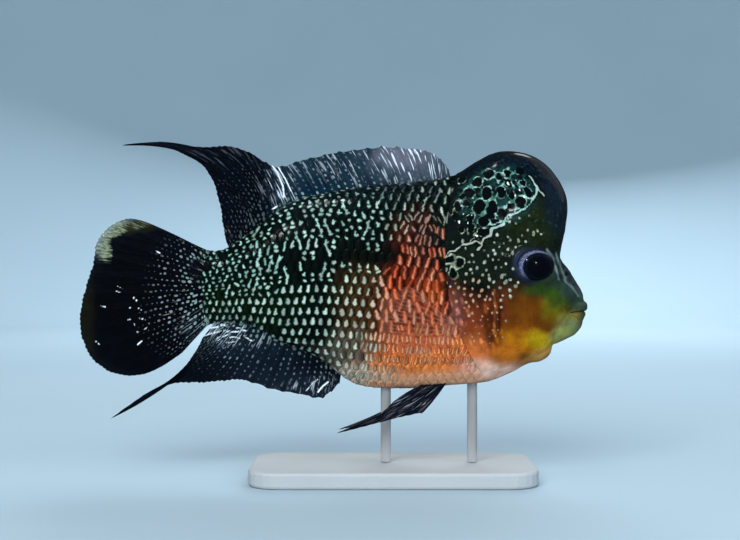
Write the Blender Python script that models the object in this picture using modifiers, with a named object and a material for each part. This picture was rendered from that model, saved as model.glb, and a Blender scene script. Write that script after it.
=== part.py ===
"""Flowerhorn cichlid, a still life-size display model on a small stand.

The fish faces +X, its back is up and the stand's underside is at Z = 0.
Lengths are given in millimetres and turned into metres where meshes are made.

The body is one swept surface. A station names three points of the side view, the top edge, the
flank and the bottom edge, with the half width there and how full the section is. A ring bends
through those three points, so that rings can fan out over the forehead hump and the snout and
can follow the curved edge of the gill cover. Head, torso and tail stem are stretches of that
surface. The hump, the lower jaw and the gill covers are cut from the head by blocks that lie
across it, each with half of the gap on either side of the cut.

A fin is one closed sheet whose rays and spines are ridges in its own surface.
"""

import math

import bmesh
import bpy
from mathutils import Matrix, Vector
from mathutils.bvhtree import BVHTree

MM = 0.001
GAP = 0.3
TINY = 1e-6

# Each station: top edge x, z; flank x, z; bottom edge x, z; half width; fullness above, below.
STATIONS = (
    (-55.5, 100.5, -57.0, 83.5, -55.5, 67.0, 3.6, 2.0, 2.0),
    (-47.5, 101.0, -49.0, 84.0, -49.0, 68.5, 6.0, 2.0, 2.0),
    (-33.0, 111.0, -36.5, 86.0, -37.0, 67.0, 9.0, 2.0, 2.0),
    (-18.5, 121.5, -22.0, 87.5, -23.5, 60.0, 12.0, 2.0, 2.0),
    (-1.5, 126.0, -6.0, 88.5, -6.0, 52.5, 14.6, 2.0, 2.1),
    (16.0, 128.5, 10.5, 87.5, 9.5, 41.5, 16.6, 2.0, 2.2),
    (33.5, 130.0, 28.5, 86.0, 29.5, 39.5, 17.8, 2.1, 2.3),
    (45.5, 131.5, 41.5, 85.0, 51.5, 41.0, 18.2, 2.2, 2.4),
    (54.0, 133.6, 49.0, 84.0, 67.5, 42.5, 18.6, 2.3, 2.4),
    (63.0, 139.0, 60.0, 85.5, 76.5, 46.0, 18.9, 2.5, 2.3),
    (73.5, 143.5, 69.5, 86.0, 85.0, 50.5, 18.7, 2.7, 2.2),
    (85.5, 142.0, 78.5, 86.0, 91.0, 51.5, 18.0, 2.8, 2.2),
    (95.6, 135.0, 85.5, 85.0, 94.8, 54.3, 17.0, 2.8, 2.1),
    (101.7, 124.0, 91.0, 83.5, 96.4, 58.2, 15.8, 2.7, 2.1),
    (101.8, 112.0, 95.0, 82.5, 99.0, 59.8, 14.4, 2.5, 2.1),
    (98.0, 100.0, 98.0, 80.0, 102.0, 61.1, 12.6, 2.2, 2.1),
    (102.8, 92.2, 100.0, 78.0, 105.9, 63.1, 11.4, 2.1, 2.0),
    (107.4, 85.3, 100.8, 75.6, 108.5, 66.0, 10.2, 2.0, 2.0),
    (109.5, 81.2, 101.0, 74.2, 109.5, 68.8, 9.3, 2.0, 2.0),
    (110.0, 78.4, 101.6, 73.7, 110.1, 70.8, 9.4, 2.0, 2.0),
    (111.4, 76.4, 102.8, 73.3, 110.6, 71.9, 8.9, 2.0, 2.0),
    (111.2, 74.3, 104.0, 73.0, 110.2, 72.7, 8.2, 2.0, 2.0),
    (107.6, 73.5, 105.0, 72.9, 107.6, 73.5, 6.2, 2.0, 2.0),
)
TAIL_END = 0.0
STEM_JOIN = 2.3
GILL_JOIN = 8.0
SNOUT_END = len(STATIONS) - 1.0
RING_POINTS = 40
FINE_ANGLES = 96

# The gill cover stands proud of the torso behind it.
GILL_LIFT = 0.9

# The hump is what of the head lies inside this cylinder, whose axis runs along Y.
HUMP_CUT_CENTRE = (110.7, 162.5)
HUMP_CUT_RADIUS = 63.7

# A gill cover is what lies outside INNER_Y, behind this arc and between these heights.
COVER_ARC_CENTRE = (20.8, 80.0)
COVER_ARC_RADIUS = 51.2
COVER_HALF_HEIGHT = 21.0
COVER_INNER_Y = 16.2

# The lower jaw is what lies below and in front of this line, which starts in front of the lips,
# runs into the mouth cleft and turns down behind the corner of the mouth to the throat.
JAW_LINE = ((125.0, 73.5), (107.9, 73.5), (104.0, 72.4), (98.2, 66.4), (94.6, 58.6), (93.6, 45.0))

EYE_CENTRE = (87.4, 12.9, 93.3)
EYE_RADII = (8.4, 5.0, 7.3)
EYE_YAW = 10.0
NOSTRIL_CENTRE = (100.4, 7.6, 89.4)
NOSTRIL_RADIUS = 1.1

# Fin rows: where the ray grows from, its tip x, z, and how far its middle bows forward or up.
# The root is an x on the back or belly line, or a z on the end of the tail stem.
DORSAL_ROWS = (
    (51.6, 50.6, 136.6, 0.0),
    (48.6, 47.6, 140.6, 0.5),
    (44.5, 42.5, 144.2, 0.5),
    (38.0, 32.0, 146.0, 1.0),
    (29.0, 20.5, 146.3, 1.0),
    (18.0, 9.0, 145.0, 1.0),
    (7.0, -2.0, 143.4, 1.0),
    (-4.0, -13.5, 140.6, 1.0),
    (-15.0, -24.0, 137.6, 1.0),
    (-20.0, -29.5, 139.0, 1.0),
    (-23.5, -37.0, 143.4, 2.5),
    (-26.5, -48.0, 146.4, 6.0),
    (-29.0, -60.0, 145.8, 14.0),
    (-30.6, -76.5, 148.0, 21.0),
    (-32.0, -94.0, 146.4, 25.5),
    (-33.4, -76.5, 146.2, 17.0),
    (-35.0, -66.5, 142.6, 13.0),
    (-37.0, -58.5, 138.0, 9.0),
    (-39.3, -53.2, 130.0, 5.0),
    (-41.4, -50.4, 120.0, 2.5),
    (-43.4, -49.0, 111.5, 1.0),
    (-45.6, -47.4, 104.6, 0.0),
)
DORSAL_SPINES = 17
DORSAL_SOFT_ROW = 9

ANAL_ROWS = (
    (3.4, 2.6, 41.0, 0.0),
    (0.6, -1.4, 37.0, 0.0),
    (-3.0, -6.0, 34.4, -0.5),
    (-8.0, -12.4, 35.6, -0.5),
    (-14.0, -20.4, 36.8, -1.0),
    (-20.0, -28.4, 38.6, -1.0),
    (-26.0, -36.4, 41.2, -1.0),
    (-31.0, -44.0, 42.6, -1.5),
    (-35.0, -53.0, 41.8, -2.5),
    (-38.4, -62.0, 41.5, -4.0),
    (-41.0, -72.0, 40.6, -6.0),
    (-43.0, -84.0, 35.2, -8.0),
    (-44.6, -99.0, 25.6, -9.0),
    (-46.0, -84.0, 36.9, -7.0),
    (-47.2, -74.0, 42.6, -5.0),
    (-48.6, -66.0, 48.6, -3.0),
    (-50.0, -60.0, 56.0, -1.0),
    (-51.2, -54.6, 62.0, 0.0),
)
ANAL_SPINES = 8
ANAL_SOFT_ROW = 6

CAUDAL_ROWS = (
    (99.6, -68.5, 106.2, 0.0),
    (98.0, -83.0, 112.8, 1.5),
    (95.4, -92.0, 114.2, 2.5),
    (92.6, -99.6, 110.2, 3.0),
    (90.0, -104.6, 103.4, 2.5),
    (87.4, -105.8, 95.0, 2.0),
    (85.0, -108.0, 87.0, 1.0),
    (82.6, -110.4, 78.5, 0.0),
    (80.2, -111.6, 70.0, -1.0),
    (77.8, -110.6, 61.5, -2.0),
    (75.6, -107.4, 53.8, -2.5),
    (73.4, -101.8, 48.2, -3.0),
    (71.6, -94.5, 45.3, -3.0),
    (70.2, -86.0, 44.9, -2.5),
    (69.2, -77.0, 48.2, -1.5),
    (68.4, -67.2, 54.6, 0.0),
)

PELVIC_ROWS = (
    (49.4, 39.0, 29.6, -1.0),
    (47.8, 30.0, 27.9, -2.5),
    (46.2, 15.5, 24.6, -3.0),
    (44.8, 1.5, 21.6, -3.0),
    (43.4, 10.5, 25.0, -2.0),
    (42.0, 19.5, 29.0, -1.0),
    (40.6, 26.5, 35.0, 0.0),
    (39.2, 32.0, 38.6, 0.0),
)
PELVIC_ROOT_Y = 5.0
PELVIC_SPLAY = 0.22

PECTORAL_ROWS = (
    (70.6, 32.0, 85.0, 2.0),
    (69.0, 24.6, 82.0, 1.5),
    (67.4, 20.6, 76.5, 1.0),
    (65.8, 19.4, 70.0, 0.0),
    (64.2, 21.4, 64.0, -1.0),
    (62.6, 26.4, 58.6, -1.5),
    (61.0, 33.4, 55.4, -2.0),
)
PECTORAL_ROOT_X = 50.4
PECTORAL_SPLAY = 0.30
PECTORAL_RAYS = 12

# Columns between two rays, as shares of the way, and how high the ridge stands on each.
RAY_PROFILE = ((0.0, 1.0), (0.3, 0.04), (0.7, 0.04))
# Rows along a ray, as shares of its length.
FIN_LEVELS = (0.0, 0.13, 0.36, 0.62, 0.86, 1.0)
MEMBRANE = 0.6

STAND_TOP = 7.0
STAND_CENTRE_X = 26.0
STAND_LENGTH = 124.0
STAND_WIDTH = 62.0
STAND_CORNER = 14.0
STAND_BEVEL = 1.2
ROD_RADIUS = 2.2
ROD_PLACES = (("stand_rod_rear", 23.0), ("stand_rod_front", 61.0))
ROD_SIDES = 20


def catmull(rows, u):
    """The row at place u, on a smooth curve through all rows; u counts rows."""
    last = len(rows) - 1
    i = min(max(int(math.floor(u)), 0), last - 1)
    t = u - i
    a, b, c, d = (rows[min(max(i + k, 0), last)] for k in (-1, 0, 1, 2))
    return tuple(
        0.5 * (2 * q + (r - p) * t + (2 * p - 5 * q + 4 * r - s) * t * t + (3 * q - p - 3 * r + s) * t ** 3)
        for p, q, r, s in zip(a, b, c, d)
    )


def signed_power(value, power):
    return math.copysign(abs(value) ** power, value)


def half_ring(u, lift=0.0):
    """Points from the top edge over the -Y side to the bottom edge at station u, evenly spaced."""
    tx, tz, mx, mz, bx, bz, width, above, below = catmull(STATIONS, u)
    width += lift
    fine = []
    for k in range(FINE_ANGLES + 1):
        angle = math.pi * k / FINE_ANGLES
        power = 2.0 / (above if angle < math.pi / 2 else below)
        c = signed_power(math.cos(angle), power)
        x = mx + c * (tx - bx) / 2 + c * c * ((tx + bx) / 2 - mx)
        z = mz + c * (tz - bz) / 2 + c * c * ((tz + bz) / 2 - mz)
        # Lift follows the ring's own curve outwards, so that neighbouring rings don't cross.
        out_x = (tx - bx) / 2 + 2 * c * ((tx + bx) / 2 - mx)
        out_z = (tz - bz) / 2 + 2 * c * ((tz + bz) / 2 - mz)
        share = lift * c * abs(c) / max(math.hypot(out_x, out_z), TINY)
        x += share * out_x
        z += share * out_z
        fine.append(Vector((x, -width * abs(math.sin(angle)) ** power, z)))
    lengths = [0.0]
    for p, q in zip(fine, fine[1:]):
        lengths.append(lengths[-1] + (q - p).length)
    half = RING_POINTS // 2
    ring, k = [], 0
    for i in range(half + 1):
        wanted = lengths[-1] * i / half
        while k < FINE_ANGLES - 1 and lengths[k + 1] < wanted:
            k += 1
        step = max(lengths[k + 1] - lengths[k], TINY)
        ring.append(fine[k].lerp(fine[k + 1], min(max((wanted - lengths[k]) / step, 0.0), 1.0)))
    ring[0].y = 0.0
    ring[-1].y = 0.0
    return ring


def whole_ring(u, lift=0.0):
    near = half_ring(u, lift)
    far = [Vector((p.x, -p.y, p.z)) for p in near[-2:0:-1]]
    return near + far


def close_ring(bm, ring):
    """Closes a ring with strips from side to side, which lie on the ring's own bent plane."""
    count = len(ring)
    bm.faces.new((ring[0], ring[1], ring[-1]))
    for i in range(1, count // 2 - 1):
        bm.faces.new((ring[i], ring[i + 1], ring[count - i - 1], ring[count - i]))
    bm.faces.new((ring[count // 2 - 1], ring[count // 2], ring[count // 2 + 1]))


def link(name, mesh, material, collection):
    obj = bpy.data.objects.new(name, mesh)
    if material:
        mesh.materials.append(material)
    collection.objects.link(obj)
    return obj


def mesh_from(bm, name):
    bmesh.ops.recalc_face_normals(bm, faces=bm.faces)
    for vertex in bm.verts:
        vertex.co *= MM
    mesh = bpy.data.meshes.new(name)
    bm.to_mesh(mesh)
    bm.free()
    mesh.shade_smooth()
    return mesh


def body_length(name, places, lift=None, seam=False):
    """A closed stretch of the body through these stations; seam welds the last ring shut."""
    bm = bmesh.new()
    rings = []
    for u in places:
        points = whole_ring(u, lift(u) if lift else 0.0)
        rings.append([bm.verts.new(p) for p in points])
    for first, second in zip(rings, rings[1:]):
        for i, vertex in enumerate(first):
            j = (i + 1) % len(first)
            bm.faces.new((vertex, first[j], second[j], second[i]))
    close_ring(bm, rings[0])
    if seam:
        # The last ring's upper and lower halves lie on one line, the bottom of the mouth cleft.
        bmesh.ops.remove_doubles(bm, verts=rings[-1], dist=0.05)
    else:
        close_ring(bm, rings[-1])
    return mesh_from(bm, name)


def spread(start, end, count):
    return [start + (end - start) * k / (count - 1) for k in range(count)]


def edge_curve(column, samples=400):
    """The body's top edge (column 0) or bottom edge (column 4), as x, z points."""
    points = []
    for k in range(samples + 1):
        row = catmull(STATIONS, SNOUT_END * k / samples)
        points.append((row[column], row[column + 1]))
    return points


def height_on(curve, x):
    """The curve's first z at this x."""
    for (x0, z0), (x1, z1) in zip(curve, curve[1:]):
        if x0 <= x <= x1:
            return z0 + (z1 - z0) * (x - x0) / max(x1 - x0, TINY)
    return curve[0][1]


def ray_places(spines, soft_row, last_row):
    """Rows where rays stand: spines evenly up to soft_row, and one soft ray for each row after it."""
    hard = spread(0.0, float(soft_row), spines)
    return hard + [float(row) for row in range(soft_row + 1, last_row + 1)]


def fin_columns(rays):
    columns = []
    for first, second in zip(rays, rays[1:]):
        columns += [(first + (second - first) * share, ridge) for share, ridge in RAY_PROFILE]
    return columns + [(rays[-1], 1.0)]


def fin_mesh(name, rows, rays, root, middle, root_thick, ridge_thick, notch):
    """One closed sheet: root gives a ray's foot, middle the sheet's y at a point and share of length.

    Between two rays the edge is drawn back by the length notch. Both faces use one pattern of
    triangles, so that they never cross.
    """
    bm = bmesh.new()
    near, far = [], []
    for u, ridge in fin_columns(rays):
        start, tip_x, tip_z, bow = catmull(rows, u)
        foot = root(start)
        tip = Vector((tip_x, tip_z))
        chord = tip - foot
        normal = Vector((chord.y, -chord.x)).normalized()
        control = (foot + tip) / 2 + normal * bow
        near_column, far_column = [], []
        for level in FIN_LEVELS:
            t = level * (1.0 - notch / chord.length * (1.0 - ridge) * level)
            flat = foot * (1 - t) ** 2 + control * 2 * t * (1 - t) + tip * t * t
            base = root_thick * (1.0 - min(level / 0.32, 1.0)) ** 2
            bone = (ridge_thick - MEMBRANE) * ridge * (1.0 - 0.75 * level)
            thick = MEMBRANE + base + bone - 0.1 * level
            y = middle(flat, u / (len(rows) - 1), level)
            near_column.append(bm.verts.new((flat.x, y - thick / 2, flat.y)))
            far_column.append(bm.verts.new((flat.x, y + thick / 2, flat.y)))
        near.append(near_column)
        far.append(far_column)
    levels = len(FIN_LEVELS)
    for i in range(len(near) - 1):
        for j in range(levels - 1):
            for sheet in (near, far):
                a, b = sheet[i][j], sheet[i + 1][j]
                c, d = sheet[i + 1][j + 1], sheet[i][j + 1]
                bm.faces.new((a, b, c))
                bm.faces.new((a, c, d))
        for j in (0, levels - 1):
            bm.faces.new((near[i][j], near[i + 1][j], far[i + 1][j]))
            bm.faces.new((near[i][j], far[i + 1][j], far[i][j]))
    for i in (0, len(near) - 1):
        for j in range(levels - 1):
            bm.faces.new((near[i][j], near[i][j + 1], far[i][j + 1]))
            bm.faces.new((near[i][j], far[i][j + 1], far[i][j]))
    return mesh_from(bm, name)


def material(name, colour, roughness, metallic=0.0, alpha=1.0):
    made = bpy.data.materials.new(name)
    made.use_nodes = True
    shader = made.node_tree.nodes["Principled BSDF"]
    shader.inputs["Base Color"].default_value = (*colour, 1.0)
    shader.inputs["Roughness"].default_value = roughness
    shader.inputs["Metallic"].default_value = metallic
    shader.inputs["Alpha"].default_value = alpha
    return made


def add_collection(name):
    made = bpy.data.collections.new(name)
    bpy.context.scene.collection.children.link(made)
    return made


def as_cutter(obj):
    obj.hide_render = True
    obj.display_type = "WIRE"
    return obj


def cut(obj, cutter, operation="DIFFERENCE", solver="EXACT"):
    modifier = obj.modifiers.new(f"{operation.lower()} {cutter.name}", "BOOLEAN")
    modifier.operation = operation
    modifier.object = cutter
    modifier.solver = solver


def ellipsoid_mesh(name, centre, radii, yaw, grow=0.0, segments=24):
    bm = bmesh.new()
    bmesh.ops.create_uvsphere(bm, u_segments=segments, v_segments=segments // 2, radius=1.0)
    # The poles lie on the eye's own axis, which points out of the head.
    turn = Matrix.Rotation(math.radians(yaw), 4, "Z")
    size = Matrix.Diagonal((radii[0] + grow, radii[1] + grow, radii[2] + grow, 1.0))
    poles = Matrix.Rotation(math.radians(90), 4, "X")
    bmesh.ops.transform(bm, matrix=Matrix.Translation(centre) @ turn @ size @ poles, verts=bm.verts)
    return mesh_from(bm, name)


def across_cylinder(name, centre, radius, reach, sides=128):
    """A cylinder whose axis runs along Y, in the side view's x and z."""
    bm = bmesh.new()
    bmesh.ops.create_cone(bm, cap_ends=True, segments=sides, radius1=radius, radius2=radius, depth=2 * reach)
    turn = Matrix.Rotation(math.radians(90), 4, "X")
    place = Matrix.Translation((centre[0], 0.0, centre[1]))
    bmesh.ops.transform(bm, matrix=place @ turn, verts=bm.verts)
    return mesh_from(bm, name)


def prism(name, outline, low_y, high_y):
    """A block with this outline in the side view, from low_y to high_y across the fish."""
    bm = bmesh.new()
    face = bm.faces.new([bm.verts.new((x, low_y, z)) for x, z in outline])
    raised = bmesh.ops.extrude_face_region(bm, geom=[face])["geom"]
    verts = [v for v in raised if isinstance(v, bmesh.types.BMVert)]
    bmesh.ops.translate(bm, vec=(0.0, high_y - low_y, 0.0), verts=verts)
    return mesh_from(bm, name)


def cover_block(name, sign, grow):
    """The space of one gill cover, grown on all its sides inside the head."""
    cx, cz = COVER_ARC_CENTRE
    radius = COVER_ARC_RADIUS + grow
    reach = COVER_HALF_HEIGHT + grow
    steps = 10
    swing = math.asin(reach / radius)
    angles = [swing * (1 - 2 * k / steps) for k in range(steps + 1)]
    outline = [(cx + radius * math.cos(a), cz + radius * math.sin(a)) for a in angles]
    outline += [(cx, cz - reach), (cx, cz + reach)]
    inner, outer = COVER_INNER_Y - grow, 40.0
    return prism(name, outline, min(sign * inner, sign * outer), max(sign * inner, sign * outer))


def jaw_block(name, grow):
    """The space of the lower jaw, grown up and back across its line."""
    shift = 0.9 * grow
    line = [(x - shift, z + shift) for x, z in JAW_LINE]
    return prism(name, line + [(125.0, 45.0)], -40.0, 40.0)


def make_flesh(parts, cutters, skin):
    """Tail stem, torso, head, hump, jaw and gill covers, with sockets for eyes and nostrils."""
    half_gap = GAP / 2

    stem_gap = half_gap / 14.0
    stem = body_length("tail_stem", spread(TAIL_END, STEM_JOIN - stem_gap, 7))
    link("tail_stem", stem, skin, parts)

    gill_gap = half_gap / 7.8
    torso = body_length("torso", spread(STEM_JOIN + stem_gap, GILL_JOIN - gill_gap, 14))
    link("torso", torso, skin, parts)

    def gill_lift(u):
        return GILL_LIFT * max(0.0, 1.0 - (u - GILL_JOIN) / 3.0)

    places = spread(GILL_JOIN + gill_gap, 18.0, 23) + [18.5, 19.0, 19.5, 20.0, 20.5, 21.0, 22.0]
    whole_head = body_length("head", places, gill_lift, seam=True)
    head = link("head", whole_head, skin, parts)
    hump = link("nuchal_hump", whole_head.copy(), None, parts)
    jaw = link("lower_jaw", whole_head.copy(), None, parts)
    cut(jaw, as_cutter(link("jaw_inside", jaw_block("jaw_inside", -half_gap), None, cutters)), "INTERSECT")
    # The exact solver empties the head at the thin mouth cleft.
    below = as_cutter(link("jaw_outside", jaw_block("jaw_outside", half_gap), None, cutters))
    cut(head, below, solver="MANIFOLD")

    reach = 40.0
    inner = across_cylinder("hump_inside", HUMP_CUT_CENTRE, HUMP_CUT_RADIUS - half_gap, reach)
    outer = across_cylinder("hump_outside", HUMP_CUT_CENTRE, HUMP_CUT_RADIUS + half_gap, reach)
    cut(hump, as_cutter(link("hump_inside", inner, None, cutters)), "INTERSECT")
    cut(head, as_cutter(link("hump_outside", outer, None, cutters)))
    for side, sign in (("left", 1), ("right", -1)):
        cover = link(f"gill_cover_{side}", whole_head.copy(), None, parts)
        inside = cover_block(f"cover_inside_{side}", sign, -half_gap)
        cut(cover, as_cutter(link(f"cover_inside_{side}", inside, None, cutters)), "INTERSECT")
        outside = cover_block(f"cover_outside_{side}", sign, half_gap)
        cut(head, as_cutter(link(f"cover_outside_{side}", outside, None, cutters)))
        x, y, z = EYE_CENTRE
        yaw = -sign * EYE_YAW
        eye = ellipsoid_mesh(f"socket_{side}", (x, sign * y, z), EYE_RADII, yaw, GAP)
        cut(head, as_cutter(link(f"socket_{side}", eye, None, cutters)))
        x, y, z = NOSTRIL_CENTRE
        radii = (NOSTRIL_RADIUS,) * 3
        pit = ellipsoid_mesh(f"nostril_{side}", (x, sign * y, z), radii, 0.0, segments=10)
        cut(head, as_cutter(link(f"nostril_{side}", pit, None, cutters)))
    return torso


def make_eyes(parts, eye_material):
    for side, sign in (("left", 1), ("right", -1)):
        x, y, z = EYE_CENTRE
        mesh = ellipsoid_mesh(f"eye_{side}", (x, sign * y, z), EYE_RADII, -sign * EYE_YAW)
        link(f"eye_{side}", mesh, eye_material, parts)


def make_middle_fins(parts, fin_material):
    """Dorsal, anal and tail fin, on the body's middle plane."""
    back = edge_curve(0)
    belly = edge_curve(4)

    def on_back(x):
        return Vector((x, height_on(back, x) + GAP))

    def on_belly(x):
        return Vector((x, height_on(belly, x) - GAP))

    def on_stem_end(z):
        tx, tz, mx, mz, bx, bz = STATIONS[0][:6]
        c = (z - mz) / (tz - mz) if z > mz else (z - mz) / (mz - bz)
        return Vector((mx + c * c * (tx - mx) - GAP, z))

    def dorsal_wave(point, along, level):
        return 1.6 * math.sin(2 * math.pi * (1.5 * along + 0.1)) * level ** 1.5

    def anal_wave(point, along, level):
        return 1.4 * math.sin(2 * math.pi * (1.3 * along + 0.55)) * level ** 1.5

    def caudal_wave(point, along, level):
        return 2.2 * math.sin(2 * math.pi * (1.1 * along + 0.2)) * level ** 1.5

    rays = ray_places(DORSAL_SPINES, DORSAL_SOFT_ROW, len(DORSAL_ROWS) - 1)
    mesh = fin_mesh("dorsal_fin", DORSAL_ROWS, rays, on_back, dorsal_wave, 1.6, 1.5, 1.3)
    link("dorsal_fin", mesh, fin_material, parts)

    rays = ray_places(ANAL_SPINES, ANAL_SOFT_ROW, len(ANAL_ROWS) - 1)
    mesh = fin_mesh("anal_fin", ANAL_ROWS, rays, on_belly, anal_wave, 1.6, 1.5, 1.0)
    link("anal_fin", mesh, fin_material, parts)

    rays = [float(row) for row in range(len(CAUDAL_ROWS))]
    mesh = fin_mesh("caudal_fin", CAUDAL_ROWS, rays, on_stem_end, caudal_wave, 4.6, 1.6, 0.8)
    link("caudal_fin", mesh, fin_material, parts)


def make_paired_fins(parts, torso, pelvic_material, pectoral_material):
    """Pelvic fins below the belly and pectoral fins behind the gill covers, on both sides."""
    surface = BVHTree.FromPolygons(
        [vertex.co / MM for vertex in torso.vertices], [tuple(face.vertices) for face in torso.polygons]
    )

    def flank_y(x, z):
        hit = surface.ray_cast(Vector((x, -60.0, z)), Vector((0.0, 1.0, 0.0)))[0]
        return abs(hit.y)

    def belly_z(x, y):
        hit = surface.ray_cast(Vector((x, y, 0.0)), Vector((0.0, 0.0, 1.0)))[0]
        return hit.z

    def on_belly_side(x):
        return Vector((x, min(belly_z(x, y) for y in (PELVIC_ROOT_Y - 1.4, PELVIC_ROOT_Y + 1.4)) - GAP))

    def behind_gill(z):
        return Vector((PECTORAL_ROOT_X, z))

    pelvic_rays = [0.0, 1.4, 2.4, 3.2, 4.6, 5.9, 7.0]
    pectoral_rays = spread(0.0, len(PECTORAL_ROWS) - 1.0, PECTORAL_RAYS)
    root_y = max(flank_y(PECTORAL_ROOT_X, z) for z in (61.0, 64.0, 67.0, 70.6)) + GAP + 1.0
    for side, sign in (("left", 1), ("right", -1)):

        def pelvic_middle(point, along, level, sign=sign):
            away = (Vector((45.0, 41.0)) - point).length
            return sign * (PELVIC_ROOT_Y + PELVIC_SPLAY * away * (0.4 + 0.6 * level))

        def pectoral_middle(point, along, level, sign=sign):
            away = PECTORAL_ROOT_X - point.x
            return sign * (root_y + PECTORAL_SPLAY * away - 0.002 * away * away)

        mesh = fin_mesh(
            f"pelvic_fin_{side}", PELVIC_ROWS, pelvic_rays, on_belly_side, pelvic_middle, 1.2, 1.4, 0.8
        )
        link(f"pelvic_fin_{side}", mesh, pelvic_material, parts)
        mesh = fin_mesh(
            f"pectoral_fin_{side}", PECTORAL_ROWS, pectoral_rays, behind_gill, pectoral_middle, 1.0, 1.1, 0.9
        )
        link(f"pectoral_fin_{side}", mesh, pectoral_material, parts)


def make_stand(parts, cutters, base_material, rod_material):
    """A flat plate with round corners, and two rods whose tops follow the belly."""
    corner = STAND_CORNER
    outline = []
    steps = 6
    for turn, (sx, sy) in enumerate(((1, 1), (-1, 1), (-1, -1), (1, -1))):
        cx = STAND_CENTRE_X + sx * (STAND_LENGTH / 2 - corner)
        cy = sy * (STAND_WIDTH / 2 - corner)
        for k in range(steps + 1):
            angle = math.radians(90 * (turn + k / steps))
            outline.append((cx + corner * math.cos(angle), cy + corner * math.sin(angle), 0.0))
    bm = bmesh.new()
    face = bm.faces.new([bm.verts.new(point) for point in outline])
    raised = bmesh.ops.extrude_face_region(bm, geom=[face])["geom"]
    bmesh.ops.translate(bm, vec=(0, 0, STAND_TOP), verts=[v for v in raised if isinstance(v, bmesh.types.BMVert)])
    plate = link("stand_base", mesh_from(bm, "stand_base"), base_material, parts)
    bevel = plate.modifiers.new("eased edges", "BEVEL")
    bevel.width = STAND_BEVEL * MM
    bevel.segments = 2
    bevel.limit_method = "ANGLE"
    bevel.angle_limit = math.radians(50)

    grown = body_length("grown_torso", spread(4.0, 8.4, 16), lambda u: GAP)
    grown_torso = as_cutter(link("grown_torso", grown, None, cutters))
    for name, x in ROD_PLACES:
        bottom, top = STAND_TOP + GAP, 48.0
        bm = bmesh.new()
        bmesh.ops.create_cone(
            bm, cap_ends=True, segments=ROD_SIDES, radius1=ROD_RADIUS, radius2=ROD_RADIUS, depth=top - bottom
        )
        bmesh.ops.translate(bm, vec=(x, 0, (top + bottom) / 2), verts=bm.verts)
        rod = link(name, mesh_from(bm, name), rod_material, parts)
        cut(rod, grown_torso)


def main():
    for obj in list(bpy.data.objects):
        bpy.data.objects.remove(obj, do_unlink=True)
    parts = add_collection("flowerhorn_cichlid")
    cutters = add_collection("cutters")

    skin = material("wet dark skin", (0.03, 0.07, 0.06), 0.3)
    fins = material("black fin membrane", (0.01, 0.015, 0.03), 0.3)
    clear_fin = material("clear fin membrane", (0.75, 0.4, 0.25), 0.3)
    eyes = material("dark eye", (0.01, 0.015, 0.05), 0.08)
    plate = material("pale satin plate", (0.78, 0.8, 0.82), 0.45)
    steel = material("brushed steel rod", (0.6, 0.62, 0.64), 0.3, metallic=1.0)

    torso = make_flesh(parts, cutters, skin)
    make_eyes(parts, eyes)
    make_middle_fins(parts, fins)
    make_paired_fins(parts, torso, fins, clear_fin)
    make_stand(parts, cutters, plate, steel)


main()
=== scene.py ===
# %% [markdown]
# A flowerhorn cichlid, built as a still, life-size display model.
# The solid model already has the true form in plain pieces, with the stand that holds it up.
# Here the fish gets what makes it alive: one unbroken skin, a coat of scales with pearls, fine fins, eyes,
# and the wet finish of a live animal. Lengths are in millimetres until a mesh is made.

# %% Load the solid model as the frame
import math

import bpy
import numpy as np
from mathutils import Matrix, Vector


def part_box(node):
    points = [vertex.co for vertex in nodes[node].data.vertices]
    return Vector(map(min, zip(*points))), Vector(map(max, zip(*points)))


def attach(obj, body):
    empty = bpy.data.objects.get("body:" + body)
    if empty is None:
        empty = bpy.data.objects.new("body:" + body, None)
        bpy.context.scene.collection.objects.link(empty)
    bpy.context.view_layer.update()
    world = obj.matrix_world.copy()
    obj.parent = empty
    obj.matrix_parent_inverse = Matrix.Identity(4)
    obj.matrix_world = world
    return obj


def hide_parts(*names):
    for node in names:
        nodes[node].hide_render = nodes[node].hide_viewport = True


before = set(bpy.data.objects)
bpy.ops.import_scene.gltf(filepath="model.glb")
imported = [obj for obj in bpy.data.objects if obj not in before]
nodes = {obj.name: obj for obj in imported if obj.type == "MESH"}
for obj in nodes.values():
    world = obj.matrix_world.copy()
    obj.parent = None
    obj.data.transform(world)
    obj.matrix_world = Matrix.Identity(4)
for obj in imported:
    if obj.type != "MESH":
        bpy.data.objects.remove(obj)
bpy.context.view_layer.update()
MM = 0.001
TINY = 1e-6

# %% [markdown]
# The camera comes first, because the markings were measured in the photograph's own pixels.
# One could guess each mark's place in space, but a sight line is surer: a pixel is a line from the camera,
# and the mark lies where that line meets the flank. The camera stands 550 mm away, level with the fish.

# %% Camera and sight lines
IMAGE_SIZE = (740, 540)
CAMERA_PLACE = (16.06, -550.0, 91.5)
PIXEL = 0.44
SENSOR = 36.0
FLANK_DEPTH = 18.0
FLANK_PIXEL = PIXEL * (1 + FLANK_DEPTH / CAMERA_PLACE[1])


def put(name, data):
    """A new object in the scene."""
    made = bpy.data.objects.new(name, data)
    bpy.context.scene.collection.objects.link(made)
    return made


def add_camera():
    """Focal length = sensor width times distance over the width seen in the fish's middle plane."""
    lens = bpy.data.cameras.new("camera")
    lens.sensor_width = SENSOR
    lens.lens = SENSOR * -CAMERA_PLACE[1] / (IMAGE_SIZE[0] * PIXEL)
    lens.clip_start = 0.01
    camera = put("camera", lens)
    camera.location = [v * MM for v in CAMERA_PLACE]
    camera.rotation_euler = (math.radians(90), 0, 0)
    bpy.context.scene.camera = camera
    return lens.lens


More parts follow.
